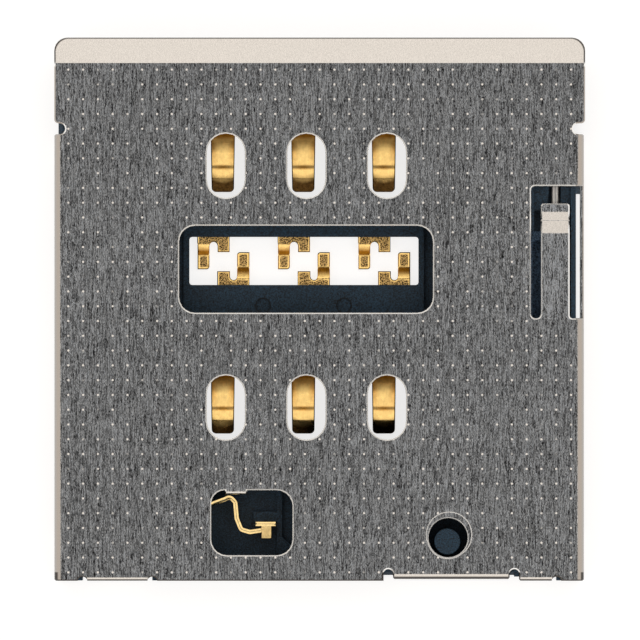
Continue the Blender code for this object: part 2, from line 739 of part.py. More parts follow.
def shell_creases():
    """The lines along which the flat sheet bends, with more of them where it bends round."""
    far = 2 * HALF_WIDTH
    lines = []
    for i in range(4):
        y = LIP_BEND + LIP_RADIUS * LIP_ANGLE * i / 3
        lines.append(((-far, y), (far, y)))
    for side, start in ((-1, LEFT_BEND_START), (1, RIGHT_BEND_START)):
        for i in range(7):
            x = start + side * SIDE_ARC * i / 6
            lines.append(((x, NOTCH_MIDDLE), (x, REAR - THROUGH)))
    for tab in REAR_TABS:
        length = (tab[3] - SHELL_SHEET / 2) * math.pi / 2
        for i in range(6):
            y = rear_bend_start(tab) - length * i / 5
            lines.append(((tab[0], y), (tab[1], y)))
    for i in range(6):
        y = SWITCH_WINDOW[3] - (TAB_BEND - SHELL_SHEET / 2) * math.pi / 2 * i / 5
        lines.append(((TAB_LEFT, y), (TAB_RIGHT, y)))
    return lines + LEAF_PROFILE.creases(LEAF_LEFT, LEAF_RIGHT)


def make_shell(look):
    shell = stamped(
        "shell",
        shell_outline(),
        shell_holes(),
        shell_creases(),
        fold_shell,
        SHELL_SHEET,
        SHELL_EDGE,
        look,
    )
    depth = SUNK_DEPTH
    sunk = SUNK_RING_RADIUS
    ring = cone(SUNK_RING, sunk - depth, sunk + depth, TOP - depth, TOP + depth)
    hole = POST_HOLE_RADIUS
    brow = cone(POST_HOLE, hole - depth, hole + 3 * depth, TOP - 3 * depth, TOP + depth)
    return combine(shell, [ring, brow])


# Contacts

def arm_profile(root, knee, crest, curl, tip):
    """An arm that rises from its root, slopes gently up to its crest and curls down at its tip."""
    return Profile(
        [
            (root + THROUGH, STRIP_MID),
            (root - ARM_LEAD, STRIP_MID),
            (knee, ARM_KNEE_Z),
            (crest, ARM_CREST_Z),
            (curl, ARM_CURL_Z),
            (tip - ARM_TIP_LEAD, ARM_TIP_Z),
        ],
        ARM_RADII,
        6,
    )


UPPER_ARM = arm_profile(UPPER_ROOT, UPPER_KNEE, UPPER_CREST, UPPER_CURL, UPPER_TIP)
LOWER_ARM = arm_profile(LOWER_ROOT, LOWER_KNEE, LOWER_CREST, LOWER_CURL, LOWER_TIP)
UPPER_TAIL = Profile(
    [
        (UPPER_TAIL_TOP, STRIP_MID),
        (UPPER_BEND[0], STRIP_MID),
        (UPPER_BEND[1], PAD_MID),
        (UPPER_PAD_END - THROUGH, PAD_MID),
    ],
    (TAIL_RADIUS, TAIL_RADIUS),
)
LOWER_TAIL = Profile(
    [
        (LOWER_PAD_END + THROUGH, PAD_MID),
        (LOWER_BEND[1], PAD_MID),
        (LOWER_BEND[0], STRIP_MID),
        (LOWER_NOTCH_BOTTOM - THROUGH, STRIP_MID),
    ],
    (TAIL_RADIUS, TAIL_RADIUS),
)


def upper_outline(x):
    """The upper contact in plan: arm, embedded bar and rail, stub and solder leg."""
    notch = (UPPER_STUB[0] - UPPER_LEG[1]) / 2
    notch_x = x + UPPER_LEG[1] + notch
    return (
        [
            (x + RAIL[0], UPPER_BAR[1]),
            (x + ARM_RIGHT, UPPER_BAR[1]),
            (x + ARM_RIGHT, UPPER_ROOT),
        ]
        + rounded(
            [
                (x + ARM_RIGHT, UPPER_ROOT - SIDE_FIT),
                (x + ARM_RIGHT - ARM_TAPER, UPPER_TIP, ARM_TIP_ROUND),
                (x + ARM_LEFT + ARM_TAPER, UPPER_TIP, ARM_TIP_ROUND),
                (x + ARM_LEFT, UPPER_ROOT),
            ]
        )
        + [
            (x + ARM_LEFT, UPPER_BAR[0]),
            (x + RAIL[1], UPPER_BAR[0]),
            (x + RAIL[1], UPPER_TAIL_TOP),
            (x + UPPER_STUB[1], UPPER_TAIL_TOP),
            (x + UPPER_STUB[1], UPPER_STUB[2]),
            (x + UPPER_STUB[0], UPPER_STUB[2]),
        ]
        + arc(notch_x, UPPER_NOTCH_TOP - notch, notch, 0, 180, 6)
        + rounded(
            [
                (x + UPPER_LEG[1], UPPER_BEND[1]),
                (x + UPPER_LEG[1], UPPER_PAD_END, PAD_ROUND),
                (x + UPPER_LEG[0], UPPER_PAD_END),
                (x + UPPER_LEG[0], UPPER_BEND[0]),
            ]
        )
        + [(x + RAIL[0], UPPER_BEND[0] + RAIL_LEAD)]
    )


def lower_outline(x):
    """The lower contact in plan: arm, embedded strip, stub and solder leg."""
    notch = (LOWER_LEG[0] - LOWER_STUB[1]) / 2
    notch_x = x + LOWER_STUB[1] + notch
    return (
        [
            (x + LOWER_STUB[0], LOWER_STUB[2]),
            (x + LOWER_STUB[1], LOWER_STUB[2]),
        ]
        + arc(notch_x, LOWER_NOTCH_BOTTOM + notch, notch, 180, 360, 6)
        + rounded(
            [
                (x + LOWER_LEG[0], LOWER_BEND[1]),
                (x + LOWER_LEG[0], LOWER_PAD_END, PAD_ROUND),
                (x + LOWER_LEG[1], LOWER_PAD_END),
                (x + LOWER_LEG[1], LOWER_SHOULDER[0]),
            ]
        )
        + rounded(
            [
                (x + ARM_RIGHT, LOWER_SHOULDER[1]),
                (x + ARM_RIGHT - ARM_TAPER, LOWER_TIP, ARM_TIP_ROUND),
                (x + ARM_LEFT + ARM_TAPER, LOWER_TIP, ARM_TIP_ROUND),
                (x + ARM_LEFT, LOWER_SHOULDER[1]),
            ]
        )
        + [(x + LOWER_STUB[0], LOWER_SHOULDER[0])]
    )


def make_contact(name, x, outline, arm, arm_span, tail, leg, leg_span, look):
    """One gold contact, stamped and bent, in a column at x."""

    def fold(u, v):
        if arm_span[0] < v < arm_span[1] and ARM_LEFT - SIDE_FIT < u - x < ARM_RIGHT + SIDE_FIT:
            return arm.point(u, v)
        if leg_span[0] < v < leg_span[1] and leg[0] - SIDE_FIT < u - x < leg[1] + SIDE_FIT:
            return tail.point(u, v)
        return (u, v, STRIP_MID), (0, 0, 1)

    creases = arm.creases(x + ARM_LEFT, x + ARM_RIGHT) + tail.creases(x + leg[0], x + leg[1])
    return stamped(name, outline, [], creases, fold, CONTACT_SHEET, CONTACT_EDGE, look)


def make_contacts(look):
    for i, x in enumerate(COLUMNS):
        make_contact(
            f"contact_upper_{i + 1}",
            x,
            upper_outline(x),
            UPPER_ARM,
            (UPPER_TIP - SIDE_FIT, UPPER_ROOT),
            UPPER_TAIL,
            UPPER_LEG,
            (UPPER_PAD_END - SIDE_FIT, UPPER_BEND[0] + BEND_LEAD),
            look,
        )
        make_contact(
            f"contact_lower_{i + 1}",
            x,
            lower_outline(x),
            LOWER_ARM,
            (LOWER_TIP - SIDE_FIT, LOWER_ROOT),
            LOWER_TAIL,
            LOWER_LEG,
            (LOWER_BEND[0] - BEND_LEAD, LOWER_PAD_END + SIDE_FIT),
            look,
        )


def grown(outline, by):
    """An outline moved outward by a small fit."""
    turning = sum(
        (x1 - x0) * (y1 + y0) for (x0, y0), (x1, y1) in zip(outline, outline[1:] + outline[:1])
    )
    side = 1 if turning > 0 else -1
    moved = []
    for i, corner in enumerate(outline):
        place = Vector(corner)
        before = (place - Vector(outline[i - 1])).normalized()
        after = (Vector(outline[(i + 1) % len(outline)]) - place).normalized()
        out = Vector((-before.y - after.y, before.x + after.x)) / (1 + before.dot(after))
        moved.append(tuple(place + out * by * side))
    return moved


# Housing


def contact_cuts():
    """The openings under the arms and the slots that the contacts' strips lie in."""
    cuts = []
    low = STRIP_MID - CONTACT_SHEET / 2 - SIDE_FIT
    high = STRIP_MID + CONTACT_SHEET / 2 + SIDE_FIT
    for x in COLUMNS:
        left = x + ARM_OPENING[0]
        right = x + ARM_OPENING[1]
        upper = (left, right, UPPER_TIP - OPENING_PAST_TIP, UPPER_ROOT)
        lower = (left, right, LOWER_TIP - OPENING_PAST_TIP, LOWER_ROOT)
        for box in (upper, lower):
            cuts.append(prism(rounded_rectangle(box, OPENING_CORNER, 2), -THROUGH, TOP))
        for outline in (upper_outline(x), lower_outline(x)):
            cuts.append(prism(grown(outline, SIDE_FIT), low, high))
    return cuts


def bay_cuts():
    """The card bay, the slider's bay and the track of the slider's pusher."""
    front = HOUSING_FRONT + THROUGH
    above = TOP + THROUGH
    rib_end = PUSHER_FRONT + SLIDE_FIT
    return [
        block(LEFT_WALL_IN, RIB_LEFT, REAR_WALL_IN, front, PANEL_TOP, above),
        block(LEFT_WALL_IN, PANEL_LEFT, SWITCH_POCKET[3], front, FLOOR, above),
        block(PANEL_RIGHT, RIB_LEFT, REAR_WALL_IN, front, TRACK_FLOOR, above),
        block(RIB_LEFT - SIDE_FIT, RIB_RIGHT + SIDE_FIT, REAR_WALL_IN, rib_end, FLOOR, above),
        block(RIB_RIGHT, BAY_RIGHT, REAR_WALL_IN, BLOCK_REAR, FLOOR, above),
        block(PILLAR_LEFT, BAY_RIGHT, BLOCK_REAR - SIDE_FIT, PILLAR_REAR, STEP_TOP, above),
    ]


def lead_in():
    """The slope at the card mouth, as a wedge cut from the floor's front edge."""
    low = PANEL_TOP - LEAD_IN_DROP
    front = HOUSING_FRONT
    wedge = [
        (front - LEAD_IN, PANEL_TOP),
        (front + SIDE_FIT, low),
        (front + THROUGH, low),
        (front + THROUGH, TOP),
        (front - LEAD_IN, TOP),
    ]
    return prism(wedge, LEFT_WALL_IN, RIB_LEFT, axis="X")


def pin_cuts():
    """The pillar's lowered top, the flared groove for the cam pin and its pivot hole."""
    fit = PIN_FIT
    low = PIN_Z - PIN_RADIUS - fit
    front = PIVOT_Y + GROOVE_FRONT
    flare = [
        (PIN_X - PIN_RADIUS - fit, front),
        (GROOVE_LEFT, PILLAR_REAR - SIDE_FIT),
        (GROOVE_RIGHT, PILLAR_REAR - SIDE_FIT),
        (GROOVE_RIGHT, front),
    ]
    hole = circle(PIN_X, PIVOT_Y, PIN_RADIUS + fit, 16)
    return [
        block(PILLAR_LEFT, BAY_RIGHT, PILLAR_REAR - SIDE_FIT, front, PILLAR_TOP, TOP + THROUGH),
        prism(flare, low, TOP),
        prism(hole, PIVOT_END - fit, TOP),
    ]


def edge_wedge(side, wall, start, end, size, axis):
    """A cutter that breaks a top edge of the housing, under the inside of a bend in the shell."""
    far = wall + side * THROUGH
    profile = [
        (wall, PLATE_UNDER - size),
        (wall - side * size, PLATE_UNDER),
        (wall - side * size, TOP),
        (far, TOP),
        (far, PLATE_UNDER - size),
    ]
    return prism(profile, start, end, axis=axis)


def wall_cuts():
    """The right wall's reliefs, the rear tabs' recesses and the coring of the solid corner."""
    above = TOP + THROUGH
    right = HOUSING_RIGHT + THROUGH
    notch_low = NOTCH_BOTTOM - NOTCH_GAP
    cuts = [
        block(RELIEF_RIGHT, right, LEAF_CUT[1] + SIDE_FIT, RELIEF_FRONT, -THROUGH, above),
        block(NOTCH_RELIEF, right, notch_low, NOTCH_TOP + NOTCH_GAP, -THROUGH, above),
        prism(circle(*POST, POST_RADIUS + SIDE_FIT), PLATE_UNDER, above),
    ]
    for left, right, face, radius in REAR_TABS:
        inner = face + SHELL_SHEET + SIDE_FIT
        gap = 2 * RELIEF_HALF if face > REAR else RELIEF_HALF
        start = left - gap
        end = right + RELIEF_HALF
        size = radius - SHELL_SHEET + SIDE_FIT
        cuts.append(block(start, end, HOUSING_REAR - THROUGH, inner, -THROUGH, above))
        cuts.append(edge_wedge(-1, inner, start, end, size, "X"))
    inner_bend = SIDE_BEND - SHELL_SHEET + SIDE_FIT
    for side, wall in ((-1, HOUSING_LEFT), (1, HOUSING_RIGHT)):
        cuts.append(
            edge_wedge(side, wall, HOUSING_REAR - THROUGH, HOUSING_FRONT + THROUGH, inner_bend, "Y")
        )
    core_left = RIB_RIGHT + CORE_WALL
    core_right = HOUSING_RIGHT - CORE_WALL
    core_rear = PIVOT_Y + 2 * CORE_WALL
    middle = (core_left + core_right) / 2
    for x0, x1 in ((core_left, middle - CORE_WALL / 2), (middle + CORE_WALL / 2, core_right)):
        cuts.append(block(x0, x1, core_rear, HOUSING_FRONT - CORE_WALL, -THROUGH, CORE_DEPTH))
    return cuts


def switch_cuts():
    """The pocket of the card switch, round its panel and its anchor block, and the side pocket."""
    left, right, low, high = SWITCH_POCKET
    side_width, side_low = SIDE_POCKET
    anchor_left, anchor_right, anchor_low, anchor_high = SWITCH_ANCHOR
    panel_left, panel_high = SWITCH_PANEL
    above = TOP + THROUGH
    blade = blade_outline(SWITCH_SHEET + 2 * SIDE_FIT)
    leg_left, leg_right = ANCHOR_LEG
    back = BAR_FACE + SWITCH_SHEET
    side_left = right + SWITCH_RIB
    side_right = side_left + side_width
    side_pocket = [
        (side_left, high),
        (side_left, side_low),
        (side_left + SIDE_POCKET_SLANT, side_low - SIDE_POCKET_SLANT),
        (side_right, side_low - SIDE_POCKET_SLANT),
        (side_right, high),
    ]
    return [
        block(left, panel_left, low, high, POCKET_FLOOR, above),
        block(panel_left - SIDE_FIT, right, panel_high, high, POCKET_FLOOR, above),
        block(panel_left - SIDE_FIT, right, low, back + SIDE_FIT, POCKET_FLOOR, above),
        prism(side_pocket, POCKET_FLOOR, above),
        prism(blade, SWITCH_LOW - SIDE_FIT, above),
        block(
            leg_left - SIDE_FIT,
            leg_right + SIDE_FIT,
            SPRING_BLADE[0][1] - SWITCH_SHEET / 2 - SIDE_FIT,
            SPRING_BLADE[0][1] + SWITCH_SHEET / 2 + SIDE_FIT,
            -THROUGH,
            above,
        ),
        block(*BAR_LEG, BAR_FACE, back, -THROUGH, above),
    ]


def catches():
    """The wedges on the side walls that the shell's windows snap over."""
    wedges = []
    for side, wall, places in (
        (-1, HOUSING_LEFT, CATCH_PLACES),
        (1, HOUSING_RIGHT, CATCH_RIGHT_PLACES),
    ):
        profile = [
            (wall - side * CATCH_DEPTH, CATCH_LOW + SLIDE_FIT),
            (wall + side * CATCH_DEPTH, CATCH_LOW + SLIDE_FIT),
            (wall, CATCH_HIGH - SLIDE_FIT),
            (wall - side * CATCH_DEPTH, CATCH_HIGH - SLIDE_FIT),
        ]
        for y in places:
            half = CATCH_WIDTH / 2 - SLIDE_FIT
            wedges.append(prism(profile, y - half, y + half, axis="Y"))
    return wedges


def make_housing(look):
    outline = rectangle(HOUSING_LEFT, HOUSING_RIGHT, HOUSING_REAR, HOUSING_FRONT)
    housing = prism(outline, 0, PLATE_UNDER, "housing", look)
    combine(housing, bay_cuts())
    anchor = SWITCH_ANCHOR
    shoulder = POST_TOP - POST_EDGE
    post = combine(
        prism(circle(*POST, POST_RADIUS, 32), TRACK_FLOOR / 2, shoulder),
        [cone(POST, POST_RADIUS, POST_RADIUS - POST_EDGE, shoulder, POST_TOP)],
        "UNION",
    )
    spigot = circle(COIL_X, COIL_Z, SPIGOT_RADIUS, 12)
    tip = REAR_WALL_IN + SPIGOT_LENGTH
    peg = prism(spigot, REAR_WALL_IN - SPIGOT_LENGTH / 4, tip, axis="Y")
    combine(housing, [post, peg, *catches()], "UNION")
    cuts = switch_cuts()
    combine(housing, cuts[:4])
    combine(housing, [block(*anchor, POCKET_FLOOR / 2, ANCHOR_TOP)], "UNION")
    combine(housing, cuts[4:])
    opening = prism(rounded_rectangle(CENTRE_OPENING, OPENING_CORNER, 2), -THROUGH, TOP)
    marks = [
        prism(
            circle(x, EJECTOR_MARK_Y, EJECTOR_MARK_RADIUS, 16),
            PANEL_TOP - EJECTOR_MARK_DEPTH,
            TOP,
        )
        for x in EJECTOR_MARKS
    ]
    combine(housing, [opening, lead_in(), *marks])
    combine(housing, pin_cuts() + wall_cuts() + contact_cuts())
    return housing


# Slider, cam pin and coil spring


def track_outline():
    """The outer edge of the cam track in the slider's top."""
    left = RETURN_X - TRACK_HALF
    right = PIN_X + TRACK_HALF
    low = FOLLOWER_Y - TRACK_HALF
    high = FOLLOWER_Y + STROKE + TRACK_HALF + SWING_RISE
    return rounded([(x, y, TRACK_HALF) for x, y in rectangle(left, right, low, high)], 4)


def island_outline():
    """The heart-shaped island, whose notch holds the pin when the card is locked in."""
    left = RETURN_X + TRACK_HALF
    right = PIN_X - TRACK_HALF
    middle = (left + right) / 2
    tip = FOLLOWER_Y + TRACK_HALF
    latch = FOLLOWER_Y + LOCKED
    horn = latch + TRACK_HALF
    return [
        (middle, tip),
        (right, tip + (right - left)),
        (right, horn),
        (middle, latch - PIN_RADIUS - PIN_FIT),
        (left, horn),
        (left, tip + (right - left)),
    ]


def make_slider(look):
    left = RIB_RIGHT + SLIDE_FIT
    right = BAY_RIGHT - SLIDE_FIT
    low = FLOOR + SLIDE_FIT
    rear = PUSHER_FRONT - PUSHER_DEPTH
    body = rectangle(left, right, SLIDER_REAR, SLIDER_FRONT)
    slider = prism(body, low, SLIDER_TOP, "slider", look)
    foot_low = TRACK_FLOOR + SLIDE_FIT
    foot_left = PANEL_RIGHT + SLIDE_FIT
    foot_right = RIB_LEFT - SIDE_FIT - SLIDE_FIT
    parts = [
        block(left, PUSHER_RIGHT, rear, SLIDER_REAR + THROUGH, low, SLIDER_TOP),
        block(PUSHER_LEFT, PUSHER_RIGHT - THROUGH, rear, PUSHER_FRONT, PUSHER_LOW, SLIDER_TOP),
        block(foot_left, foot_right, rear, PUSHER_FRONT, foot_low, PUSHER_LOW + THROUGH),
    ]
    peg = circle(COIL_X, COIL_Z, SPIGOT_RADIUS, 12)
    parts.append(
        prism(peg, SLIDER_REAR - SPIGOT_LENGTH, SLIDER_REAR + SPIGOT_LENGTH / 4, axis="Y")
    )
    combine(slider, parts, "UNION")
    post_y = POST[1] + STROKE
    half = POST_RADIUS + POST_RELIEF
    hollow = arc(POST[0], post_y, half, 0, 180, 12)
    hollow += [(POST[0] - half, rear - THROUGH), (POST[0] + half, rear - THROUGH)]
    track = prism(track_outline(), TRACK_HIGH_FLOOR, TOP)
    combine(track, [prism(island_outline(), 0, TOP + THROUGH)])
    return_left = RETURN_X - TRACK_HALF
    return_right = RETURN_X + TRACK_HALF
    return_low = FOLLOWER_Y
    return_high = FOLLOWER_Y + STROKE
    lower = block(return_left, return_right, return_low, return_high, TRACK_LOW_FLOOR, TOP)
    lower = combine(lower, [prism(island_outline(), 0, TOP + THROUGH)])
    deck = block(
        DECK_LEFT, right + THROUGH, SLIDER_REAR - THROUGH, SLIDER_FRONT + THROUGH, DECK_TOP, TOP
    )
    combine(slider, [prism(hollow, 0, TOP), deck, track, lower])
    origin_at(slider, (PIN_X, FOLLOWER_Y, 0))
    return slider


def make_pin(look):
    path = rounded_path(
        [
            (PIN_X, PIVOT_Y, PIVOT_END),
            (PIN_X, PIVOT_Y, PIN_Z),
            (PIN_X, FOLLOWER_Y, PIN_Z),
            (PIN_X, FOLLOWER_Y, FOLLOWER_END),
        ],
        (PIN_BEND, PIN_BEND),
        5,
    )
    pin = tube(path, PIN_RADIUS, 12, "cam_pin", look)
    origin_at(pin, (PIN_X, PIVOT_Y, 0))
    return pin


def make_coil(look):
    """The return spring, with a closed turn at each end."""
    steps = 14
    front = SLIDER_REAR - COIL_WIRE
    rear = REAR_WALL_IN + COIL_WIRE
    closed = 2 * COIL_WIRE + SIDE_FIT
    open_turns = COIL_TURNS - 2
    pitch = (front - rear - 2 * closed) / open_turns
    path = []
    for i in range(COIL_TURNS * steps + 1):
        turn = i / steps
        if turn <= 1:
            back = closed * turn
        elif turn <= COIL_TURNS - 1:
            back = closed + pitch * (turn - 1)
        else:
            back = closed + pitch * open_turns + closed * (turn - COIL_TURNS + 1)
        a = 2 * math.pi * turn
        path.append(
            (COIL_X + COIL_RADIUS * math.cos(a), front - back, COIL_Z + COIL_RADIUS * math.sin(a))
        )
    return tube(path, COIL_WIRE, 6, "coil_spring", look)


# Card detect switch


def blade_outline(thickness):
    """The switch spring in plan, a strip on edge with a doubled head at its free end."""
    path = [Vector(p) for p in rounded_path(SPRING_BLADE, BLADE_ROUNDS, 4)]
    left, right = [], []
    for i, place in enumerate(path):
        before = (place - path[max(i - 1, 0)]).normalized() if i else None
        after = (path[i + 1] - place).normalized() if i + 1 < len(path) else None
        before = before or after
        after = after or before
        out = Vector((-before.y - after.y, before.x + after.x)) / (1 + before.dot(after))
        left.append(tuple(place + out * thickness / 2))
        right.append(tuple(place - out * thickness / 2))
    head_left, head_right, head_low, head_high = BLADE_HEAD
    spare = (thickness - SWITCH_SHEET) / 2
    head = [
        (head_left, head_high + spare),
        (head_right + spare, head_high + spare),
        (head_right + spare, head_low - spare),
        (head_left, head_low - spare),
    ]
    return left + head + right[::-1]


def make_switch(look):
    blade = prism(blade_outline(SWITCH_SHEET), SWITCH_LOW, SWITCH_HIGH, "switch_spring", look)
    half = SWITCH_SHEET / 2
    y = SPRING_BLADE[0][1]
    leg = block(ANCHOR_LEG[0], ANCHOR_LEG[1], y - half, y + half, 0, SWITCH_LOW + half)
    combine(blade, [leg], "UNION")
    outline = [
        (BAR_LEFT, SWITCH_LOW),
        (BAR_LEG[0], SWITCH_LOW),
        (BAR_LEG[0], 0),
        (BAR_LEG[1], 0),
        (BAR_LEG[1], SWITCH_HIGH),
        (BAR_LEFT, SWITCH_HIGH),
    ]
    prism(outline, BAR_FACE, BAR_FACE + SWITCH_SHEET, "switch_contact", look, "Y")


def start_clean():
    for obj in list(bpy.data.objects):
        bpy.data.objects.remove(obj)


def main():
    start_clean()
    steel = material("shell_steel", (0.45, 0.45, 0.44), 0.32, 1.0)
    gold = material("contact_gold", (0.85, 0.58, 0.24), 0.25, 1.0)
    plastic = material("housing_plastic", (0.012, 0.018, 0.028), 0.5, 0.0)
    slider_plastic = material("slider_plastic", (0.014, 0.019, 0.028), 0.45, 0.0)
    wire = material("spring_wire", (0.55, 0.54, 0.52), 0.3, 1.0)
    make_housing(plastic)
    make_shell(steel)
    make_contacts(gold)
    make_switch(gold)
    make_slider(slider_plastic)
    make_pin(wire)
    make_coil(wire)


main()
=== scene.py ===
"""Looks for the SIM card socket: finishes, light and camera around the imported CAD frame.

Everything is in metres in the frame's axes: X across the socket, +Y out of the card mouth, +Z up.
Textures are laid out in millimetres.
"""

import math

import bmesh
import bpy
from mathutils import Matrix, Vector


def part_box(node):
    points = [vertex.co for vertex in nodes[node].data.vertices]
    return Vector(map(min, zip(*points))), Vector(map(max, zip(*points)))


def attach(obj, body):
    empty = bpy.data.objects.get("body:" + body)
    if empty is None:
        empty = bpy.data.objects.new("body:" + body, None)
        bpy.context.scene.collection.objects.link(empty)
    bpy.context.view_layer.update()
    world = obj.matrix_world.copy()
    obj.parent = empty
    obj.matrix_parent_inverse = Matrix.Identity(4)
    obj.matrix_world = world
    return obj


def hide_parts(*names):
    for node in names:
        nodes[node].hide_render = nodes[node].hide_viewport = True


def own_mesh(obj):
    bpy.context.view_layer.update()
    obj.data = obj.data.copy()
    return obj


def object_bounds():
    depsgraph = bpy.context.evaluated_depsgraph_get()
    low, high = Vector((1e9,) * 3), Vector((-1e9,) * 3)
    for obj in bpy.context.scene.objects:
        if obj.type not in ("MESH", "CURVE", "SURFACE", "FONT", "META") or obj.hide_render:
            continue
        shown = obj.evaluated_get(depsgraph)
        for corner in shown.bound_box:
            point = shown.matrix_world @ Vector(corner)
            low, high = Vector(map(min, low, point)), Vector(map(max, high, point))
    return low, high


MM = 0.001

# Photograph: pixels per millimetre, and the pixel that shows the frame's origin
PICTURE = 640
PIXELS_PER_MM = 31.73
ORIGIN_PIXEL = (319.7, 309.2)
LENS = 1000.0
SENSOR = 36.0
NEAR_CLIP = 0.001
FAR_CLIP = 10.0

# Light
BRIGHT = (1.16, 1.07, 0.98)
CAP = (0.200, 0.214, 0.232)
CAP_INNER = math.radians(15)
CAP_OUTER = math.radians(26)
FLOOR_HALF = 0.6
FLOOR_ALBEDO = 0.35
FLOOR_ROUGHNESS = 0.9
FLOOR_GLOW = 0.77
FLOOR_GAP = 0.02 * MM
UNDER_REACH = 0.05 * MM
UNDER_GLOW = 0.6

# Colours
STEEL = (0.71, 0.70, 0.68)
# Painted highlight: paler steel on the chamfered edges
HIGHLIGHT_STEEL = (0.80, 0.815, 0.82, 1)
# Painted shade: the darker steel of the side bends
BEND_SHADE_STEEL = (0.40, 0.375, 0.35, 1)
# Painted shade: the dark rims on the lip and the rear bends
DARK_RIM_SHADE_STEEL = (0.07, 0.065, 0.06, 1)
# Colour of the dots, and of the painted light along the leaf's crease
DOT_AND_CREASE_LIGHT_COLOUR = (0.78, 0.77, 0.75, 1)
WIRE_STEEL = (0.47, 0.47, 0.465)
HOUSING_NAVY = (0.009, 0.025, 0.044)
# Painted light: the slider's navy is lighter than the housing's to offset the shade it sits in
SLIDER_NAVY_PAINTED_LIGHTER = (0.028, 0.050, 0.082)
BRIGHT_GOLD = (1.0, 0.71, 0.27)
# Painted shade on the arms: a shaded and a deeply shaded copy of the gold
PAINTED_SHADE_GOLD = (0.46, 0.19, 0.016)
PAINTED_DEEP_SHADE_GOLD = (0.11, 0.06, 0.018)
PITTED_GOLD = (0.78, 0.50, 0.19)
SWITCH_GOLD = (1.0, 0.78, 0.38)

# Shades that a colour is multiplied by, from the darkest spots to the palest
BRUSH_SHADES = (-0.30, 1.72)
CLOUD_SHADES = (0.95, 1.05)
FORMED_SHADES = (0.90, 1.06)
GRAIN_SHADES = (0.1, 1.9)
MOULDING_SHADES = (0.88, 1.12)
BRIGHT_SHADES = (0.86, 1.08)
PAINTED_SHADE_TONES = (0.75, 1.20)
PAINTED_DEEP_SHADE_TONES = (0.4, 1.6)
PIT_LEVELS = (0.36, 0.60)
PIT_SHADES = (0.0, 1.35)
SWITCH_SHADES = (0.75, 1.05)
WIRE_SHADES = (0.8, 1.15)
# Painted shade: paler on the lower arms, darker on the arms' steep roots
LOWER_SHADE_PALER = 1.5
ROOT_SHADE = 0.62
# Painted light on the leaf's flat and painted shade on its slopes
LEAF_FLAT_LIGHT = 1.30
LEAF_SLOPE_SHADE = 0.86
# Painted light on the slider's deck, which lies in shade
DECK_PAINTED_LIGHT = 2.6

# Textures: how many cells a millimetre holds along X, Y and Z
STREAKS = (50.0, 1.7)
STREAK_SHARE = 0.6
SPECKS = (46.0, 38.0, 46.0)
CLOUDS = (0.35, 0.25, 0.35)
MOULDING_GRAIN = (24.0, 24.0, 24.0)
MOULDING_CLOUDS = (0.9, 0.9, 0.9)
GOLD_STREAKS = (20.0, 2.4)
GOLD_PATCHES = (7.0, 7.0, 7.0)
GOLD_PITS = (28.0, 28.0, 28.0)
SWITCH_PATCHES = (9.0, 9.0, 9.0)
WIRE_STREAKS = (14.0, 4.0, 14.0)

# Roughness from the lowest spots of a texture to the highest, and the textures' relief
STEEL_ROUGHNESS = (0.28, 0.20)
STEEL_RELIEF = 0.003 * MM
MOULDING_ROUGHNESS = (0.52, 0.42)
MOULDING_SPECULAR = 0.3
MOULDING_RELIEF = 0.004 * MM
GOLD_ROUGHNESS = (0.24, 0.14)
FLAT_ROUGHER = 0.22
KNEE_ROUGHER = 0.28
GOLD_RELIEF = 0.0018 * MM
SWITCH_ROUGHNESS = (0.20, 0.12)
SWITCH_RELIEF = 0.003 * MM
WIRE_ROUGHNESS = (0.46, 0.36)
WIRE_RELIEF = 0.0006 * MM

# Shell's plate, its bends and its lip: places in millimetres, tilts as the normal's Z
PLATE_TOP = 1.5
BEND_ACROSS = (8.06, 8.09)
BEND_ALONG = (7.68, 7.62)
BEND_TILT = (0.995, 0.97)
LIP_CORNER = (7.90, 8.10)
LIP_RIM = (0.405, 0.435)
LIP_SIDES = (7.72, 7.80)
REAR_FACE = (-8.28, -8.30)
REAR_TILT = (0.86, 0.74)
REAR_HEIGHTS = (1.20, 1.28)
# Tilts of the chamfers that carry the painted highlight
HIGHLIGHT_TILT_HIGH = (0.82, 0.76)
HIGHLIGHT_TILT_LOW = (0.58, 0.64)
FORMED_TILT = (0.972, 0.99)
FORMED_RAGGED = 0.06
FORMED_RELIEF = 0.14

# Dots on the shell's plate, in millimetres
DOT_PITCH = 0.466
DOT_START = (-7.923, 7.551)
DOT_RADIUS = 0.041
DOT_EDGE = 0.014
DOT_LOST = 0.05
DOT_FAINT = 0.30
DOTS_FRONT = 7.66
DOTLESS_START = 6.9
DOTLESS_MIDDLE = 1.7
DOTLESS_HALF = 2.1

# Brush lines on the shell's sheet, in millimetres
HAIR_WIDTH = 0.026
HAIR_LENGTH = 0.26
NICK_LENGTH = 0.045
HAIR_SHIFT = 17.0
HAIR_SHARE = 0.42
LINES_UNEVEN = 0.4

# Contacts, in millimetres: a strip above ARM_LOW is an arm, whose painted shade goes by the distance
# along Y from its crest and across from its middle line; a foot is the bend down to a solder pad, which
# is painted shaded too
ARM_LOW = 0.42
ARM_FADE = 0.05
ARM_MIDDLE = -0.517
CONTACT_PITCH = 2.54
UPPER_CREST = 4.48
LOWER_CREST = -3.13
ARM_RISING = (0.68, 0.98)
ARM_KNEE = (0.45, 0.75)
ARM_SIDES = (0.13, 0.40)
ARM_SIDES_ALONG = (-0.1, 0.7)
TIP_START = (-0.24, -0.52)
TIP_ROUNDING = 0.9
LOWER_TIP_SHIFT = 0.10
CREST_LINE = (0.10, 0.02)
CREST_LINE_ASIDE = (0.30, 0.05)
CREST_LINE_SHARES = (0.35, 0.85)
ROOT_TILT = (math.cos(math.radians(21)), math.cos(math.radians(30)))
PITTED_TILT = (0.97, 0.995)
FOOT_TILT = (0.97, 0.94)
FOOT_AHEAD = (0.20, 0.30)
FOOT_TOP = (0.27, 0.19)
FOOT_LOW = (0.12, 0.14)

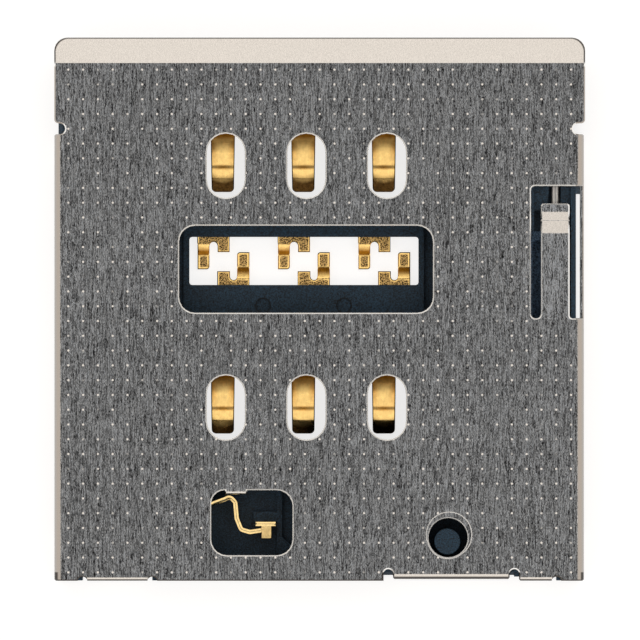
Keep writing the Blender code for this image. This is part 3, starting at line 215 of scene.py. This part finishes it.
# Flat end of the switch spring, in millimetres
LEG_LEFT = -1.86
LEG_TOP = -6.86
LEG_ROUGHER = 0.42

# Leaf with its crease, slider's deck and the housing's two ejector marks, in millimetres
CREASE = 2.799
CREASE_RIM = (0.035, 0.02)
CREASE_LIGHT_SHARE = 0.55
LEAF_START = 6.95
LEAF_END = 7.95
LEAF_MIDDLE = 1.52
LEAF_HALF = 1.82
DECK_START = 6.62
DECK_FADE = 0.05
MARKS = ((-1.790, 0.117), (0.766, 0.117))
MARK_RADIUS = 0.23
MARK_EDGE = 0.035
MARK_SHADE_SHARE = 0.75

# Sizes of the scene's own pieces
COIL_TURNS = 13
COIL_STEPS = 28
COIL_SIDES = 10
COIL_WIRE = 0.07 * MM
COIL_SLACK = 1.05
RIM_DROP = 0.017 * MM
TAIL_RIMS = ((0.05 * MM, 0.20 * MM, 0.042 * MM), (0.20 * MM, 0.35 * MM, 0.022 * MM))
SWITCH_RIMS = ((0.60 * MM, 0.90 * MM, 0.057 * MM),)
WELD = 0.0005 * MM
FLAT = math.radians(0.4)
FAN_POWER = 3

# Angles in degrees up to which neighbouring faces are shaded as one
SHEET_SMOOTH = 25
MOULDING_SMOOTH = 30
STRIP_SMOOTH = 35
WIRE_SMOOTH = 50

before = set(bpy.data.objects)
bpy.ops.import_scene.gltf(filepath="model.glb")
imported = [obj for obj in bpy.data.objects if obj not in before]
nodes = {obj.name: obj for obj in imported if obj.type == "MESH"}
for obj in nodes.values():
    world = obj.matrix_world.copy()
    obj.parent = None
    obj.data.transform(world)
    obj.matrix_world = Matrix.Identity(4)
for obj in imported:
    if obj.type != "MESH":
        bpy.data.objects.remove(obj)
cad_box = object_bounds()


# Node helpers


def add(tree, kind, inputs=(), **settings):
    """A shader node with its settings, and its inputs as values or as sockets to link."""
    made = tree.nodes.new(kind)
    for name, value in settings.items():
        setattr(made, name, value)
    for key, value in dict(inputs).items():
        socket = made.inputs[key]
        if isinstance(value, bpy.types.NodeSocket):
            tree.links.new(value, socket)
        else:
            socket.default_value = value
    return made


def calc(tree, operation, *values):
    return add(tree, "ShaderNodeMath", enumerate(values), operation=operation).outputs[0]


def times(tree, first, second):
    return calc(tree, "MULTIPLY", first, second)


def plus(tree, first, second):
    return calc(tree, "ADD", first, second)


def minus(tree, first, second):
    return calc(tree, "SUBTRACT", first, second)


def most(tree, first, second):
    return calc(tree, "MAXIMUM", first, second)


def size(tree, value):
    return calc(tree, "ABSOLUTE", value)


def split(tree, vector):
    """The three parts of a vector."""
    return add(tree, "ShaderNodeSeparateXYZ", {0: vector}).outputs


def ramp(tree, value, low, high, to_low=0.0, to_high=1.0):
    """A value carried from one range to another and held at its ends."""
    made = add(
        tree,
        "ShaderNodeMapRange",
        {"Value": value, "From Min": low, "From Max": high, "To Min": to_low, "To Max": to_high},
    )
    return made.outputs["Result"]


def mixed(tree, share, first, second):
    """A colour between two others."""
    made = add(tree, "ShaderNodeMix", {0: share, 6: first, 7: second}, data_type="RGBA")
    return made.outputs[2]


def scaled(tree, vector, factors):
    made = add(tree, "ShaderNodeVectorMath", enumerate((vector, factors)), operation="MULTIPLY")
    return made.outputs[0]


def scaled_colour(tree, colour, share):
    return add(tree, "ShaderNodeVectorMath", {0: colour, 3: share}, operation="SCALE").outputs[0]


def noise(tree, vector, detail=2.0, roughness=0.55):
    made = add(
        tree,
        "ShaderNodeTexNoise",
        {"Vector": vector, "Scale": 1.0, "Detail": detail, "Roughness": roughness},
    )
    return made.outputs["Fac"]


def start_material(name):
    """A material with its shader, and the place on the object in millimetres."""
    made = bpy.data.materials.new(name)
    made.use_nodes = True
    tree = made.node_tree
    shader = tree.nodes["Principled BSDF"]
    place = scaled(tree, add(tree, "ShaderNodeTexCoord").outputs["Object"], (1000.0, 1000.0, 1000.0))
    return made, tree, shader, place


def bump(tree, shader, height, distance):
    made = add(tree, "ShaderNodeBump", {"Height": height, "Distance": distance})
    tree.links.new(made.outputs["Normal"], shader.inputs["Normal"])


# Materials


def grain(tree, place, across, along):
    """Fine streaks that run along Y."""
    return noise(tree, scaled(tree, place, (across, along, across)), 2.0, 0.6)


def cells(tree, across, along):
    """A random level for each cell of a grid, from the two places counted in cells."""
    corner = {0: calc(tree, "FLOOR", across), 1: calc(tree, "FLOOR", along)}
    spot = add(tree, "ShaderNodeCombineXYZ", corner).outputs[0]
    return add(tree, "ShaderNodeTexWhiteNoise", {"Vector": spot}, noise_dimensions="3D").outputs["Value"]


def brush_lines(tree, place):
    """Hair lines one brush bristle wide along Y, each broken at its own places, over shorter nicks."""
    x, y = split(tree, place)[:2]
    column = calc(tree, "DIVIDE", x, HAIR_WIDTH)
    shift = times(tree, cells(tree, column, 0.5), HAIR_SHIFT)
    hairs = cells(tree, column, plus(tree, calc(tree, "DIVIDE", y, HAIR_LENGTH), shift))
    row = plus(tree, calc(tree, "DIVIDE", y, NICK_LENGTH), shift)
    nicks = cells(tree, plus(tree, column, 0.5), row)
    both = plus(tree, times(tree, hairs, HAIR_SHARE), times(tree, nicks, 1.0 - HAIR_SHARE))
    return minus(tree, both, 0.5)


def dot_mask(tree, place):
    """Tiny round marks on a square grid, some of them faint or missing, on the flat plate only."""
    x, y, z = split(tree, place)[:3]
    shares = []
    counts = []
    for value, start in zip((x, y), DOT_START):
        step = calc(tree, "DIVIDE", minus(tree, value, start), DOT_PITCH)
        count = calc(tree, "ROUND", step)
        counts.append(count)
        off = times(tree, minus(tree, step, count), DOT_PITCH)
        shares.append(times(tree, off, off))
    distance = calc(tree, "SQRT", plus(tree, *shares))
    strength = ramp(tree, cells(tree, *counts), DOT_LOST, DOT_LOST + DOT_FAINT)
    mask = ramp(tree, distance, DOT_RADIUS, DOT_RADIUS - DOT_EDGE)
    on_plate = ramp(tree, z, PLATE_TOP - 0.01, PLATE_TOP - 0.003)
    below_lip = calc(tree, "LESS_THAN", y, DOTS_FRONT)
    off_bends = calc(tree, "LESS_THAN", size(tree, x), BEND_ACROSS[1])
    beside_leaf = calc(tree, "LESS_THAN", x, DOTLESS_START)
    along = size(tree, minus(tree, y, DOTLESS_MIDDLE))
    past_leaf = calc(tree, "GREATER_THAN", along, DOTLESS_HALF)
    off_leaf = most(tree, beside_leaf, past_leaf)
    for limit in (strength, on_plate, below_lip, off_bends, off_leaf):
        mask = times(tree, mask, limit)
    return mask


def painted_dark_rims(tree, place, up):
    """The lip's rim and the lower half of the rear bends, painted dark: a painted reflection of dark
    surroundings.
    """
    x, y, z = split(tree, place)[:3]
    squares = []
    for value, centre in zip((size(tree, x), y), LIP_CORNER):
        past = most(tree, minus(tree, value, centre), 0.0)
        squares.append(times(tree, past, past))
    out = calc(tree, "SQRT", plus(tree, *squares))
    front = times(tree, ramp(tree, out, *LIP_RIM), ramp(tree, y, *LIP_SIDES))
    rear = times(tree, ramp(tree, y, *REAR_FACE), ramp(tree, up, *REAR_TILT))
    rear = times(tree, rear, ramp(tree, z, *REAR_HEIGHTS))
    return most(tree, front, rear)


def on_leaf(tree, place):
    """The sprung leaf over the cam pin."""
    x, y = split(tree, place)[:2]
    along = calc(tree, "LESS_THAN", size(tree, minus(tree, y, LEAF_MIDDLE)), LEAF_HALF)
    inner = calc(tree, "GREATER_THAN", x, LEAF_START)
    outer = calc(tree, "LESS_THAN", x, LEAF_END)
    return times(tree, along, times(tree, inner, outer))


def painted_crease_light(tree, place):
    """Painted light: a thin pale matt line along the leaf's crease, standing in for how the crease
    catches light.
    """
    y = split(tree, place)[1]
    off = size(tree, minus(tree, y, CREASE))
    return times(tree, ramp(tree, off, *CREASE_RIM, 0.0, CREASE_LIGHT_SHARE), on_leaf(tree, place))


def painted_bend_shade(tree, place, up):
    """The long bends at the plate's sides, painted darker: painted shade on the bends."""
    x, y = split(tree, place)[:2]
    side = times(tree, ramp(tree, size(tree, x), *BEND_ACROSS), ramp(tree, y, *BEND_ALONG))
    return times(tree, side, ramp(tree, up, *BEND_TILT))


def steel():
    made, tree, shader, place = start_material("brushed_shell_steel")
    facing = add(tree, "ShaderNodeTexCoord").outputs["Normal"]
    up = split(tree, facing)[2]
    streaks = grain(tree, place, *STREAKS)
    specks = noise(tree, scaled(tree, place, SPECKS), 0.0)
    broad = noise(tree, scaled(tree, place, CLOUDS), 1.0)
    mix = plus(tree, times(tree, streaks, STREAK_SHARE), times(tree, specks, 1.0 - STREAK_SHARE))
    raw = minus(tree, mix, 0.5)
    level = ramp(tree, plus(tree, up, times(tree, raw, FORMED_RAGGED)), *FORMED_TILT)
    depth = times(tree, raw, most(tree, level, FORMED_RELIEF))
    leaf = on_leaf(tree, place)
    lines = plus(tree, brush_lines(tree, place), times(tree, raw, LINES_UNEVEN))
    lines = ramp(tree, lines, -0.5, 0.5, *BRUSH_SHADES)
    brushed = times(tree, lines, ramp(tree, broad, 0.3, 0.7, *CLOUD_SHADES))
    # Painted light: the leaf's flat is painted paler than the plate
    brushed = times(tree, brushed, ramp(tree, leaf, 0.0, 1.0, 1.0, LEAF_FLAT_LIGHT))
    formed = ramp(tree, raw, -0.10, 0.10, *FORMED_SHADES)
    # Painted shade: the leaf's slopes are painted darker
    formed = times(tree, formed, ramp(tree, leaf, 0.0, 1.0, 1.0, LEAF_SLOPE_SHADE))
    shades = {0: level, 2: formed, 3: brushed}
    shade = add(tree, "ShaderNodeMix", shades, data_type="FLOAT").outputs[0]
    base = scaled_colour(tree, STEEL, shade)
    # The dots, together with the painted light along the leaf's crease
    dots_and_crease_light = most(tree, dot_mask(tree, place), painted_crease_light(tree, place))
    painted_dark = painted_dark_rims(tree, place, up)
    # Painted highlight: faces tilted about 45 degrees get a paler steel
    highlight = times(tree, ramp(tree, up, *HIGHLIGHT_TILT_HIGH), ramp(tree, up, *HIGHLIGHT_TILT_LOW))
    base = mixed(tree, highlight, base, HIGHLIGHT_STEEL)
    # Painted shade laid on the side bends
    base = mixed(tree, painted_bend_shade(tree, place, up), base, BEND_SHADE_STEEL)
    # Painted reflection: the lip's rim and the rear bends painted dark
    base = mixed(tree, painted_dark, base, DARK_RIM_SHADE_STEEL)
    tree.links.new(mixed(tree, dots_and_crease_light, base, DOT_AND_CREASE_LIGHT_COLOUR), shader.inputs["Base Color"])
    tree.links.new(minus(tree, 1.0, dots_and_crease_light), shader.inputs["Metallic"])
    tree.links.new(ramp(tree, depth, -0.2, 0.2, *STEEL_ROUGHNESS), shader.inputs["Roughness"])
    bump(tree, shader, depth, STEEL_RELIEF)
    return made


def painted_mark_shade(tree, place):
    """Painted shade: thin dark rings round the marks that the mould's ejector pins leave."""
    mask = 0.0
    for mark in MARKS:
        pair = {0: place, 1: (*mark, 0.0)}
        away = add(tree, "ShaderNodeVectorMath", pair, operation="SUBTRACT").outputs[0]
        flat = scaled(tree, away, (1.0, 1.0, 0.0))
        reach = add(tree, "ShaderNodeVectorMath", {0: flat}, operation="LENGTH").outputs["Value"]
        off = size(tree, minus(tree, reach, MARK_RADIUS))
        mask = plus(tree, mask, ramp(tree, off, MARK_EDGE, MARK_EDGE / 3))
    return mask


def plastic(name, colour, deck_light=1.0):
    """Fine matt moulding; the last argument is how much paler the deck right of the pusher is painted:
    painted light on a deck in shade.
    """
    made, tree, shader, place = start_material(name)
    fine = noise(tree, scaled(tree, place, MOULDING_GRAIN), 3.0, 0.6)
    broad = noise(tree, scaled(tree, place, MOULDING_CLOUDS), 2.0)
    shade = ramp(tree, fine, 0.35, 0.65, *GRAIN_SHADES)
    shade = times(tree, shade, ramp(tree, broad, 0.3, 0.7, *MOULDING_SHADES))
    # Painted shade round the ejector marks
    shade = times(tree, shade, minus(tree, 1.0, times(tree, painted_mark_shade(tree, place), MARK_SHADE_SHARE)))
    x = split(tree, place)[0]
    # Painted light on the deck right of the pusher
    shade = times(tree, shade, ramp(tree, x, DECK_START, DECK_START + DECK_FADE, 1.0, deck_light))
    tree.links.new(scaled_colour(tree, colour, shade), shader.inputs["Base Color"])
    tree.links.new(ramp(tree, fine, 0.3, 0.7, *MOULDING_ROUGHNESS), shader.inputs["Roughness"])
    shader.inputs["Specular IOR Level"].default_value = MOULDING_SPECULAR
    bump(tree, shader, fine, MOULDING_RELIEF)
    return made


def gold():
    """Plated strip: bright bends, finely pitted flats, and arms and feet in painted shade laid by place
    along Y.
    """
    made, tree, shader, place = start_material("gold_plated_strip")
    facing = add(tree, "ShaderNodeTexCoord").outputs["Normal"]
    ahead, up = split(tree, facing)[1:3]
    x, y, z = split(tree, place)[:3]
    arm = ramp(tree, z, ARM_LOW, ARM_LOW + ARM_FADE)
    tail = minus(tree, 1.0, arm)
    flat = times(tree, ramp(tree, up, *PITTED_TILT), tail)
    off = minus(tree, x, ARM_MIDDLE)
    column = times(tree, calc(tree, "ROUND", calc(tree, "DIVIDE", off, CONTACT_PITCH)), CONTACT_PITCH)
    aside = size(tree, minus(tree, off, column))
    upper = calc(tree, "GREATER_THAN", y, 0.0)
    crest = ramp(tree, upper, 0.0, 1.0, LOWER_CREST, UPPER_CREST)
    along = minus(tree, y, crest)
    # Painted shade: the rising part and the sides of the upper half take the shaded gold
    rising = ramp(tree, along, *ARM_RISING)
    edges = times(tree, ramp(tree, aside, *ARM_SIDES), ramp(tree, along, *ARM_SIDES_ALONG))
    painted_shade = times(tree, most(tree, rising, edges), arm)
    # Painted deep shade at each arm's rounded tip
    round_tip = minus(tree, along, times(tree, times(tree, aside, aside), TIP_ROUNDING))
    fall = ramp(tree, upper, 0.0, 1.0, LOWER_TIP_SHIFT, 0.0)
    tip = times(tree, ramp(tree, plus(tree, round_tip, fall), *TIP_START), arm)
    # A darker line along each arm's crest, in the shaded gold
    line = times(tree, ramp(tree, size(tree, along), *CREST_LINE), arm)
    line = times(tree, line, ramp(tree, aside, *CREST_LINE_ASIDE, *CREST_LINE_SHARES))
    # Painted shade on the bend down to each solder pad
    foot = times(tree, ramp(tree, up, *FOOT_TILT), tail)
    foot = times(tree, foot, ramp(tree, z, *FOOT_TOP))
    foot = times(tree, foot, ramp(tree, size(tree, ahead), *FOOT_AHEAD))
    foot = times(tree, foot, ramp(tree, z, *FOOT_LOW))
    streaks = grain(tree, place, *GOLD_STREAKS)
    patches = noise(tree, scaled(tree, place, GOLD_PATCHES), 3.0, 0.65)
    pits = noise(tree, scaled(tree, place, GOLD_PITS), 0.5)
    mix = plus(tree, times(tree, streaks, 0.5), times(tree, patches, 0.5))
    bright = scaled_colour(tree, BRIGHT_GOLD, ramp(tree, mix, 0.34, 0.66, *BRIGHT_SHADES))
    deep = scaled_colour(tree, PAINTED_SHADE_GOLD, ramp(tree, mix, 0.32, 0.68, *PAINTED_SHADE_TONES))
    deep = scaled_colour(tree, deep, ramp(tree, upper, 0.0, 1.0, LOWER_SHADE_PALER, 1.0))
    # Painted shade: steep faces near the root are darker
    root = ramp(tree, up, *ROOT_TILT, 1.0, ROOT_SHADE)
    deep = scaled_colour(tree, deep, root)
    dark = scaled_colour(tree, PAINTED_DEEP_SHADE_GOLD, ramp(tree, mix, 0.32, 0.68, *PAINTED_DEEP_SHADE_TONES))
    pitted = scaled_colour(tree, PITTED_GOLD, ramp(tree, pits, *PIT_LEVELS, *PIT_SHADES))
    base = mixed(tree, painted_shade, bright, deep)
    base = mixed(tree, line, base, deep)
    base = mixed(tree, tip, base, dark)
    base = mixed(tree, foot, base, deep)
    base = mixed(tree, flat, base, pitted)
    tree.links.new(base, shader.inputs["Base Color"])
    polish = ramp(tree, patches, 0.3, 0.7, *GOLD_ROUGHNESS)
    dulled = most(tree, times(tree, arm, 0.5), flat)
    knee = times(tree, ramp(tree, along, *ARM_KNEE), arm)
    dulled = plus(tree, times(tree, dulled, FLAT_ROUGHER), times(tree, knee, KNEE_ROUGHER))
    tree.links.new(plus(tree, polish, dulled), shader.inputs["Roughness"])
    shader.inputs["Metallic"].default_value = 1.0
    bump(tree, shader, patches, GOLD_RELIEF)
    return made


def switch_gold():
    """Plated strip on edge, whose rounded upper side stays bright."""
    made, tree, shader, place = start_material("gold_plated_switch_strip")
    patches = noise(tree, scaled(tree, place, SWITCH_PATCHES), 3.0, 0.6)
    tree.links.new(
        scaled_colour(tree, SWITCH_GOLD, ramp(tree, patches, 0.3, 0.7, *SWITCH_SHADES)),
        shader.inputs["Base Color"],
    )
    x, y = split(tree, place)[:2]
    leg = times(tree, calc(tree, "GREATER_THAN", x, LEG_LEFT), calc(tree, "LESS_THAN", y, LEG_TOP))
    rough = plus(tree, ramp(tree, patches, 0.3, 0.7, *SWITCH_ROUGHNESS), times(tree, leg, LEG_ROUGHER))
    tree.links.new(rough, shader.inputs["Roughness"])
    shader.inputs["Metallic"].default_value = 1.0
    bump(tree, shader, patches, SWITCH_RELIEF)
    return made


def wire():
    made, tree, shader, place = start_material("drawn_spring_wire")
    streaks = noise(tree, scaled(tree, place, WIRE_STREAKS), 2.0)
    tree.links.new(
        scaled_colour(tree, WIRE_STEEL, ramp(tree, streaks, 0.3, 0.7, *WIRE_SHADES)),
        shader.inputs["Base Color"],
    )
    tree.links.new(ramp(tree, streaks, 0.3, 0.7, *WIRE_ROUGHNESS), shader.inputs["Roughness"])
    shader.inputs["Metallic"].default_value = 1.0
    bump(tree, shader, streaks, WIRE_RELIEF)
    return made


# Pieces


def fan_normals(bm, limit, apart):
    """Corner normals, smooth over bends, led by the largest face; faces in apart join no others."""
    normals = {}
    for vert in bm.verts:
        fans = {face: [face] for face in vert.link_faces}
        for edge in vert.link_edges:
            pair = edge.link_faces
            if len(pair) == 2 and edge.calc_face_angle(math.pi) < limit and apart.isdisjoint(pair):
                first, second = fans[pair[0]], fans[pair[1]]
                if first is not second:
                    first.extend(second)
                    for face in second:
                        fans[face] = first
        for face, fan in fans.items():
            largest = max(other.calc_area() for other in fan)
            total = Vector((0, 0, 0))
            for other in fan:
                total += other.normal * (other.calc_area() / largest) ** FAN_POWER
            normals[face.index, vert.index] = total.normalized()
    return normals


def dress(node, look, body, smooth, rims=()):
    """A welded copy of a CAD node with smooth bends and, between given heights, eased rims."""
    limit = math.radians(smooth)
    bm = bmesh.new()
    bm.from_mesh(nodes[node].data)
    bmesh.ops.remove_doubles(bm, verts=bm.verts, dist=WELD)
    bmesh.ops.dissolve_limit(bm, angle_limit=FLAT, verts=bm.verts, edges=bm.edges)
    flats = set()
    for low, high, width in rims:
        level = [face for face in bm.faces if face.normal.z > math.cos(FLAT)]
        tops = [face for face in level if low < face.calc_center_median().z < high]
        outer = {vert for face in tops for vert in face.verts}
        bmesh.ops.inset_region(bm, faces=tops, thickness=width, use_even_offset=True)
        for vert in outer:
            vert.co.z -= min(RIM_DROP, width / 3)
        flats.update(tops)
    bm.normal_update()
    bm.verts.index_update()
    bm.faces.index_update()
    normals = fan_normals(bm, limit, flats)
    mesh = bpy.data.meshes.new(f"{node}_dressed")
    bm.to_mesh(mesh)
    bm.free()
    mesh.materials.append(look)
    mesh.shade_smooth()
    mesh.set_sharp_from_angle(angle=limit)
    mesh.normals_split_custom_set(
        [normals[face.index, vert] for face in mesh.polygons for vert in face.vertices]
    )
    piece = bpy.data.objects.new(f"{node}_dressed", mesh)
    bpy.context.scene.collection.objects.link(piece)
    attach(piece, body)
    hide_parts(node)


def make_coil(look):
    """The return spring as a smooth helix, with a closed turn at each end."""
    low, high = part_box("coil_spring")
    centre_x = (low.x + high.x) / 2
    centre_z = (low.z + high.z) / 2
    radius = (high.x - low.x) / 2 - COIL_WIRE
    front = high.y - COIL_WIRE
    rear = low.y + COIL_WIRE
    closed = 2 * COIL_WIRE * COIL_SLACK
    pitch = (front - rear - 2 * closed) / (COIL_TURNS - 2)
    bm = bmesh.new()
    rings = []
    for i in range(COIL_TURNS * COIL_STEPS + 1):
        turn = i / COIL_STEPS
        if turn <= 1:
            back = closed * turn
        elif turn <= COIL_TURNS - 1:
            back = closed + pitch * (turn - 1)
        else:
            back = closed + pitch * (COIL_TURNS - 2) + closed * (turn - COIL_TURNS + 1)
        angle = 2 * math.pi * turn
        out = Vector((math.cos(angle), 0, math.sin(angle)))
        place = Vector((centre_x, front - back, centre_z)) + out * radius
        ring = []
        for k in range(COIL_SIDES):
            a = 2 * math.pi * k / COIL_SIDES
            side = out * math.cos(a) + Vector((0, 1, 0)) * math.sin(a)
            ring.append(bm.verts.new(place + COIL_WIRE * side))
        rings.append(ring)
    bm.faces.new(rings[0])
    bm.faces.new(rings[-1][::-1])
    for ring, beyond in zip(rings, rings[1:]):
        for k in range(COIL_SIDES):
            m = (k + 1) % COIL_SIDES
            bm.faces.new((ring[k], beyond[k], beyond[m], ring[m]))
    bmesh.ops.recalc_face_normals(bm, faces=bm.faces)
    mesh = bpy.data.meshes.new("return_spring")
    bm.to_mesh(mesh)
    bm.free()
    mesh.materials.append(look)
    mesh.shade_smooth()
    mesh.set_sharp_from_angle(angle=math.radians(WIRE_SMOOTH))
    coil = bpy.data.objects.new("return_spring", mesh)
    bpy.context.scene.collection.objects.link(coil)
    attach(coil, "socket")
    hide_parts("coil_spring")
    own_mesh(coil)


def make_pieces():
    shell_look = steel()
    housing_look = plastic("moulded_housing", HOUSING_NAVY)
    slider_look = plastic("moulded_slider", SLIDER_NAVY_PAINTED_LIGHTER, deck_light=DECK_PAINTED_LIGHT)
    gold_look = gold()
    wire_look = wire()
    dress("shell", shell_look, "socket", SHEET_SMOOTH)
    dress("housing", housing_look, "socket", MOULDING_SMOOTH)
    for i in (1, 2, 3):
        for row in ("upper", "lower"):
            node = f"contact_{row}_{i}"
            dress(node, gold_look, "socket", STRIP_SMOOTH, rims=TAIL_RIMS)
    switch_look = switch_gold()
    for node in ("switch_spring", "switch_contact"):
        dress(node, switch_look, "socket", STRIP_SMOOTH, rims=SWITCH_RIMS)
    dress("slider", slider_look, "slider", MOULDING_SMOOTH)
    dress("cam_pin", wire_look, "cam_pin", WIRE_SMOOTH)
    make_coil(wire_look)


# Light, floor and camera


def make_world():
    """A bright surround with a dark cap overhead, where the camera of such a photograph hangs."""
    world = bpy.data.worlds.new("studio")
    bpy.context.scene.world = world
    world.use_nodes = True
    tree = world.node_tree
    sky = tree.nodes["Background"]
    way = add(tree, "ShaderNodeTexCoord").outputs["Generated"]
    height = split(tree, way)[2]
    share = ramp(tree, height, math.cos(CAP_OUTER), math.cos(CAP_INNER))
    tree.links.new(mixed(tree, share, (*BRIGHT, 1), (*CAP, 1)), sky.inputs["Color"])


def make_floor():
    """A plain pale floor that photographs white, keeps the soft shadow and is clear from below."""
    mesh = bpy.data.meshes.new("floor")
    half = FLOOR_HALF
    z = cad_box[0][2] - FLOOR_GAP
    corners = [(-half, -half, z), (half, -half, z), (half, half, z), (-half, half, z)]
    mesh.from_pydata(corners, [], [(0, 1, 2, 3)])
    floor = bpy.data.objects.new("floor", mesh)
    bpy.context.scene.collection.objects.link(floor)
    made = bpy.data.materials.new("pale_floor")
    made.use_nodes = True
    tree = made.node_tree
    shader = tree.nodes["Principled BSDF"]
    shader.inputs["Base Color"].default_value = (FLOOR_ALBEDO, FLOOR_ALBEDO, FLOOR_ALBEDO, 1)
    shader.inputs["Roughness"].default_value = FLOOR_ROUGHNESS
    shader.inputs["Specular IOR Level"].default_value = 0.0
    paths = add(tree, "ShaderNodeLightPath").outputs
    through = most(tree, paths["Is Glossy Ray"], paths["Is Transmission Ray"])
    seen = most(tree, paths["Is Camera Ray"], through)
    shader.inputs["Emission Color"].default_value = (1, 1, 1, 1)
    near = times(tree, calc(tree, "LESS_THAN", paths["Ray Length"], UNDER_REACH), UNDER_GLOW)
    glow = most(tree, times(tree, seen, FLOOR_GLOW), near)
    tree.links.new(glow, shader.inputs["Emission Strength"])
    clear = add(tree, "ShaderNodeBsdfTransparent").outputs[0]
    below = add(tree, "ShaderNodeNewGeometry").outputs["Backfacing"]
    both = add(tree, "ShaderNodeMixShader", {0: below, 1: shader.outputs[0], 2: clear}).outputs[0]
    tree.links.new(both, tree.nodes["Material Output"].inputs["Surface"])
    mesh.materials.append(made)


def make_camera():
    """Looks straight down, at the photograph's scale on the shell's plate."""
    data = bpy.data.cameras.new("camera")
    data.lens = LENS
    data.sensor_width = SENSOR
    data.clip_start = NEAR_CLIP
    data.clip_end = FAR_CLIP
    camera = bpy.data.objects.new("camera", data)
    bpy.context.scene.collection.objects.link(camera)
    field = PICTURE / PIXELS_PER_MM * MM
    distance = field * LENS / SENSOR
    x = (PICTURE / 2 - ORIGIN_PIXEL[0]) / PIXELS_PER_MM * MM
    y = (ORIGIN_PIXEL[1] - PICTURE / 2) / PIXELS_PER_MM * MM
    camera.location = (x, y, PLATE_TOP * MM + distance)
    bpy.context.scene.camera = camera


make_pieces()
make_world()
make_floor()
make_camera()
bpy.context.scene.view_settings.view_transform = "Standard"
